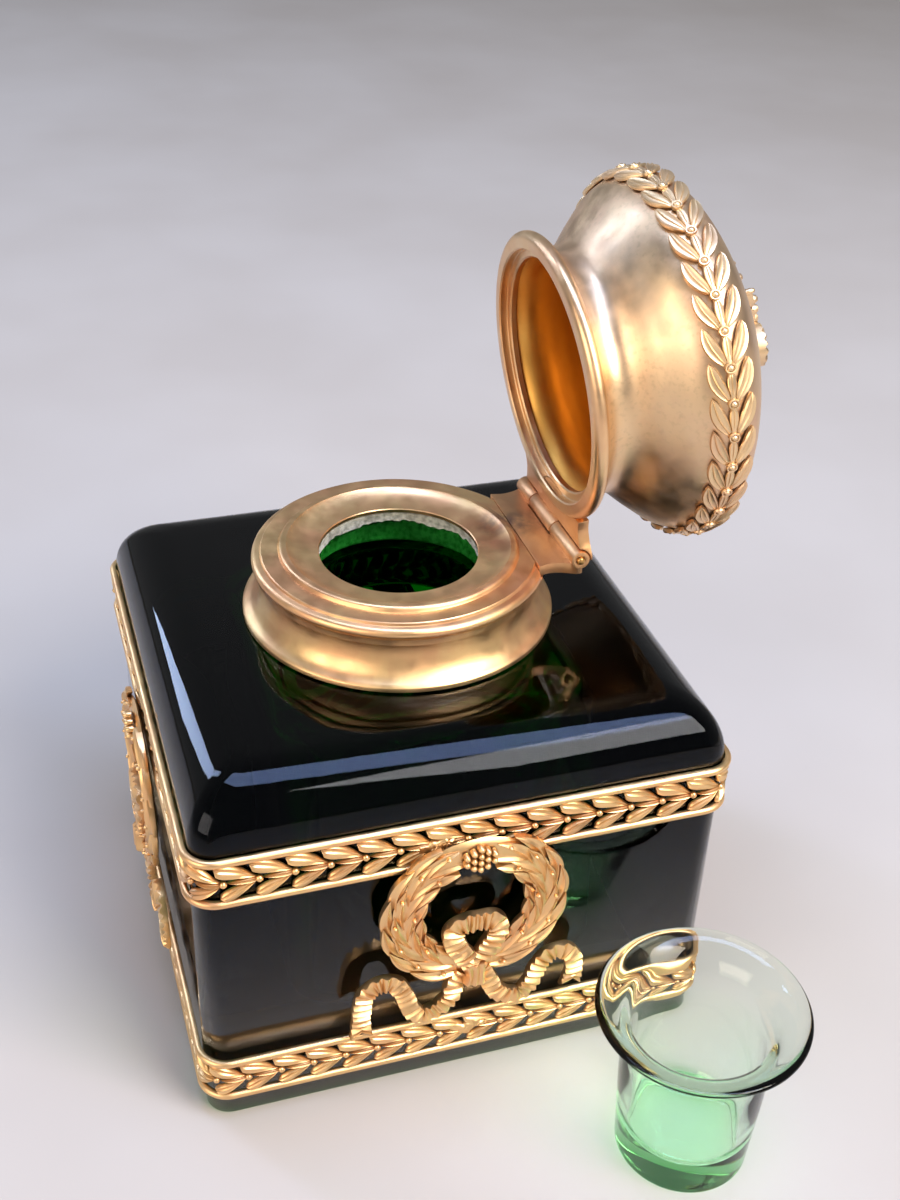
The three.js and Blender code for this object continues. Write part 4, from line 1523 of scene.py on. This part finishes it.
        leaf = Leaf(length=5.6, width=2.5, spread=1.5, start=0.3, relief=1.3, rise=0.5, tip_power=0.8)
        tip = Leaf(length=5.6, width=2.6, spread=0.0, start=0.0, relief=1.4, rise=0.5, tip_power=0.8)
        for angle in (-90, -58, -122):
            place = turned(angle)
            for at in (2.2, 5.0):
                leaf.lay(shell, at, 1, 1, place, 0.3)
                leaf.lay(shell, at, -1, 1, place, 0.3)
            tip.lay(shell, 8.6, 1, 1, place, 0.3)
            shell.boss(4.7, 0, [[1.9 * r, 0.4 + 2.9 * h] for r, h in BERRY], place, 14)
            shell.boss(7.6, 0, [[1.6 * r, 0.4 + 2.6 * h] for r, h in BERRY], place, 14)
            shell.boss(11.0, 0, [[1.4 * r, 0.4 + 2.3 * h] for r, h in BERRY], place, 12)
            shell.boss(14.0, 0, [[0.9 * r, 0.4 + 1.8 * h] for r, h in BERRY], place, 12)
        bow = Ribbon(width=2.9, relief=2.3, fold=0.26)
        tail = Ribbon(width=2.6, relief=1.7, fold=0.24, notch=1.4)
        for hand in (1, -1):
            loop = [[0.6 * hand, -0.4], [3.6 * hand, -2.2], [6.6 * hand, -1.9], [7.6 * hand, 0.0],
                    [6.4 * hand, 1.9], [3.6 * hand, 2.2], [0.6 * hand, 0.5]]
            bow.lay(shell, loop, self.crown, 0.3, (0.5, 0.5))
            tail.lay(shell, [[0.8 * hand, 1.0], [2.2 * hand, 3.8], [4.4 * hand, 5.4], [5.8 * hand, 8.0]],
                     self.crown, 0.3, (0.6, 0.0))
        knot = [[2.5, 0.3], [2.6, 2.2], [2.3, 3.1], [1.5, 3.65], [0, 3.85]]
        shell.boss(0, 0, knot, self.crown, 20)
        return shell.build("lid_bow_finial", [self.chased])

    def build(self) -> None:
        """Makes the lid's pieces and swings them open."""
        for make, slot, node in ((self.rim, Slot.LID_BRONZE, "lid_rim"),
                                 (self.bowl, Slot.LID_BRONZE, "lid_shell"),
                                 (self.garland, Slot.GILT_BRONZE, "lid_garland"),
                                 (self.finial, Slot.GILT_BRONZE, "lid_finial")):
            piece = make()
            piece.data.transform(self.swing.opened())
            settle(piece, Body.LID, slot, node)


# ---- the liner ----
@dataclass
class Liner:
    """The pressed glass ink pot with its wide flange."""

    finish: Glass
    spot: tuple[float, float]
    height: float = 35.3
    flange: float = 18.8
    throat: float = 13.4
    base: float = 12.2
    wall: float = 1.6
    floor: float = 5.5

    def build(self) -> None:
        """Makes the pot at its place beside the block."""
        top = self.height
        inner = self.throat - self.wall
        outside = smooth_line([[self.base, 1.2], [12.55, 8], [13.0, 16], [13.2, 22.3], [13.4, 28],
                               [14.9, 31.4], [17.3, 33.2], [self.flange - 0.25, 34.2]], 34)
        inside = smooth_line([[self.flange - 1.2, top - 0.03], [16.4, top - 0.35], [14.6, top - 1.5],
                              [12.7, top - 3.6], [inner, top - 7], [11.35, top - 14], [10.75, 13],
                              [10.35, self.floor + 2.6], [9.4, self.floor + 1.0],
                              [7.4, self.floor + 0.25]], 36)
        profile = [
            [0, 0.5],
            [6, 0.35],
            [9.8, 0.02],
            [self.base - 0.9, 0.02],
            *arc((self.base - 0.7, 0.75), 0.7, -80, 0, 5),
            *outside.tolist(),
            *arc((self.flange - 0.62, top - 0.62), 0.6, -25, 90, 8),
            *inside.tolist(),
            [4, self.floor + 0.05],
            [0, self.floor],
        ]
        shell = Shell()
        shell.turned(profile, 128, closed=False)
        piece = shell.build("ink_pot", [self.finish.material()], crease=60)
        piece.location = (self.spot[0] * MM, self.spot[1] * MM, 0)
        settle(piece, Body.LINER, Slot.CLEAR_GLASS, "ink_liner")


# ---- the studio ----
@dataclass(frozen=True)
class Softbox:
    """A soft rectangular lamp, aimed at the object."""

    name: str
    place: tuple[float, float, float]
    size: tuple[float, float]
    watts: float
    colour: str
    target: tuple[float, float, float] = (0.0, 0.0, 0.06)


@dataclass
class Studio:
    """Plain pale floor, soft lamps and the camera."""

    azimuth: float = 71.07
    elevation: float = 33.365
    roll: float = -2.345
    eye: tuple[float, float, float] = (230.7, -68.58, 234.72)
    lens: float = 45.23
    sky: str = "#E4E4E6"
    sky_strength: float = 0.62
    # The plain transform keeps the gold's colour, and the lower exposure keeps its highlights.
    view_transform: str = "Standard"
    exposure: float = -1.0
    lamps: tuple[Softbox, ...] = (
        Softbox("key_box", (0.75, 0.5, 0.8), (0.6, 0.6), 30.0, "#FFF3E4"),
        Softbox("top_box", (0.12, 0.1, 0.85), (0.23, 1.0), 16.0, "#BCD0FF"),
        Softbox("fill_box", (0.5, -0.9, 0.5), (0.8, 0.6), 12.0, "#FFEEDD"),
        Softbox("edge_box", (-0.8, -0.6, 0.65), (0.12, 0.9), 9.0, "#C4D8FF"),
    )

    def light(self) -> None:
        """Adds the lamps and the dim sky."""
        world = bpy.data.worlds.new("sky")
        bpy.context.scene.world = world
        world.use_nodes = True
        back = world.node_tree.nodes["Background"]
        back.inputs["Color"].default_value = linear(self.sky)
        back.inputs["Strength"].default_value = self.sky_strength
        tone = bpy.context.scene.view_settings
        tone.view_transform = self.view_transform
        tone.exposure = self.exposure
        for box in self.lamps:
            lamp = bpy.data.lights.new(box.name, "AREA")
            lamp.shape = "RECTANGLE"
            lamp.size, lamp.size_y = box.size
            lamp.energy = box.watts
            lamp.color = linear(box.colour)[:3]
            holder = bpy.data.objects.new(box.name, lamp)
            holder.location = box.place
            aim = Vector(box.target) - Vector(box.place)
            holder.rotation_euler = aim.to_track_quat("-Z", "Y").to_euler()
            bpy.context.scene.collection.objects.link(holder)

    def floor(self) -> None:
        """Adds the pale floor."""
        reach = np.linspace(-4000, 4000, 3)
        rows = np.array([[[x, y, 0] for y in reach] for x in reach])
        shell = Shell()
        shell.grid(rows, loop=False, caps=False)
        board = shell.build("floor", [PaleBoard("pale_painted_board").material()])

    def camera(self) -> None:
        """Adds the camera."""
        turn, lift, tilt = (math.radians(a) for a in (self.azimuth, self.elevation, self.roll))
        back = Vector((math.sin(turn) * math.cos(lift), -math.cos(turn) * math.cos(lift), math.sin(lift)))
        level = Vector((math.cos(turn), math.sin(turn), 0))
        down = (-back).cross(level)
        across = math.cos(tilt) * level + math.sin(tilt) * down
        up = math.sin(tilt) * level - math.cos(tilt) * down
        data = bpy.data.cameras.new("camera")
        data.lens = self.lens
        data.sensor_width = 36.0
        data.clip_start = 0.01
        holder = bpy.data.objects.new("camera", data)
        place = Vector(self.eye) * MM
        holder.matrix_world = Matrix.Translation(place) @ Matrix((across, up, back)).transposed().to_4x4()
        bpy.context.scene.collection.objects.link(holder)
        bpy.context.scene.camera = holder


def lid_swing() -> Swing:
    """The lid's swing, from the frame's own hinge."""
    hinge = next(joint for joint in frame["joints"] if joint["type"] == "hinge")
    return Swing(tuple(hinge["pos_m"]), tuple(hinge["axis"]), math.radians(max(hinge["range_deg"])))


def main() -> None:
    """Builds the inkwell and its studio."""
    logging.basicConfig(level=logging.INFO, format="%(name)s: %(message)s")
    studio = Studio()
    studio.camera()
    studio.light()
    studio.floor()

    block_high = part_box("glass_block")[1] / MM
    collar_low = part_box("collar")[0].z / MM
    block_top = collar_low - 0.3
    swing = lid_swing()
    hinge_axis = (swing.centre[1] / MM, swing.centre[2] / MM)

    # Nearly black where it is thick, and green at its thin neck. A low index and a grey glare keep
    # the pale floor from greying its faces.
    crystal = Glass("pressed_green_crystal", 1.42, 400.0, "#20DC78", 0.012, 0.12, glare="#A2AAB8")
    CrystalBlock(crystal, block_high.x, block_top).build()

    # Peach gold with brown dirt and painted shade in its hollows, so that each leaf stands out from the next.
    chased = GiltMetal("cast_fire_gilt_bronze", "#F4CC92", "#E6AE80", 0.37, dirt_and_shade=0.6).material()
    # Broad soft rings of light, copper-red towards the hinge where the gilding is thin.
    turned = GiltMetal("turned_fire_gilt_bronze", "#F4CE94", "#E8A880", 0.38, turning=0.5, colour_spots=(
        ColourSpot("#B05E44", (0, 24, 88), 13.0), ColourSpot("#54424C", (-3, 21, 88), 5.0, 0.7)))
    Collar(turned, SetPlaster("set_plaster"), block_top).build()
    # Redder than the collar, with a dark purple-grey patch in its middle.
    rubbed = GiltMetal("rubbed_gilt_bronze", "#E8B884", "#D2966E", 0.4, colour_spots=(
        ColourSpot("#5B4A52", (-2, 24, 88.3), 6.0, 0.7),))
    # Bare yellow wire, with a sharper highlight than the gilding.
    # Its hollows are browned too, by dirt and painted shade.
    wire = GiltMetal("drawn_brass_wire", "#C9A063", "#B98A55", 0.3, shade="#4A2D16", dirt_and_shade=0.5)
    Hinge(rubbed, wire, hinge_axis).build(swing)

    for node, name, phase, solder in (("lower_gallery", "lower_laurel_gallery", 1.0, (0.0, 10.8)),
                                      ("upper_gallery", "upper_laurel_gallery", 4.7, (-7.5, 58.2))):
        low, high = (corner.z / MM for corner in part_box(node))
        Gallery(name, node, chased, block_high.x, low, high, phase=phase, solder=solder).build()

    wreath = Wreath(chased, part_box("right_wreath")[0].x / MM)
    shared = None
    for quarter, side in enumerate(("right", "back", "left", "front")):
        made = wreath.build(f"{side}_wreath", f"{side}_laurel_wreath", quarter, shared)
        shared = shared or made

    # Pale satin gold with fine lathe rings, brown beside the hinge and grey on the side across from it.
    spun = GiltMetal("spun_gilt_brass_satin", "#EACBA2", "#E0B698", 0.38, turning=0.45, tarnish=0.16, colour_spots=(
        ColourSpot("#5A4844", (8, 22, 97), 9.0, 0.6), ColourSpot("#9A9480", (12, -21, 99), 13.0, 0.55)))
    # Deep orange-gold with coarser lathe rings, for the bowl's inside.
    lined = GiltMetal("spun_gilt_brass_lacquered", "#ECB45C", "#DCA04A", 0.42, turning=0.8)
    # The lid's rim: close to the bowl's gold, with a tighter highlight.
    bead = GiltMetal("spun_gilt_brass_bead", "#EECA9A", "#E0AE88", 0.34, turning=0.45)
    # About as pale as the bowl under it, with soft brown dirt and painted shade in its hollows.
    satin = GiltMetal("satin_gilt_bronze", "#EFD2A6", "#E2BA9A", 0.4, shade="#7E5A3A", dirt_and_shade=0.5)
    Lid(swing, spun, lined, bead, satin.material()).build()

    liner_low, liner_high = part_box("ink_liner")
    middle = (liner_low + liner_high) / 2 / MM
    # Clear at the flange and green through its thick foot.
    clear = Glass("pressed_clear_glass", 1.36, 85.0, "#94E2A6", 0.008, 0.05)
    Liner(clear, (middle.x, middle.y)).build()


if __name__ == "__main__":
    main()
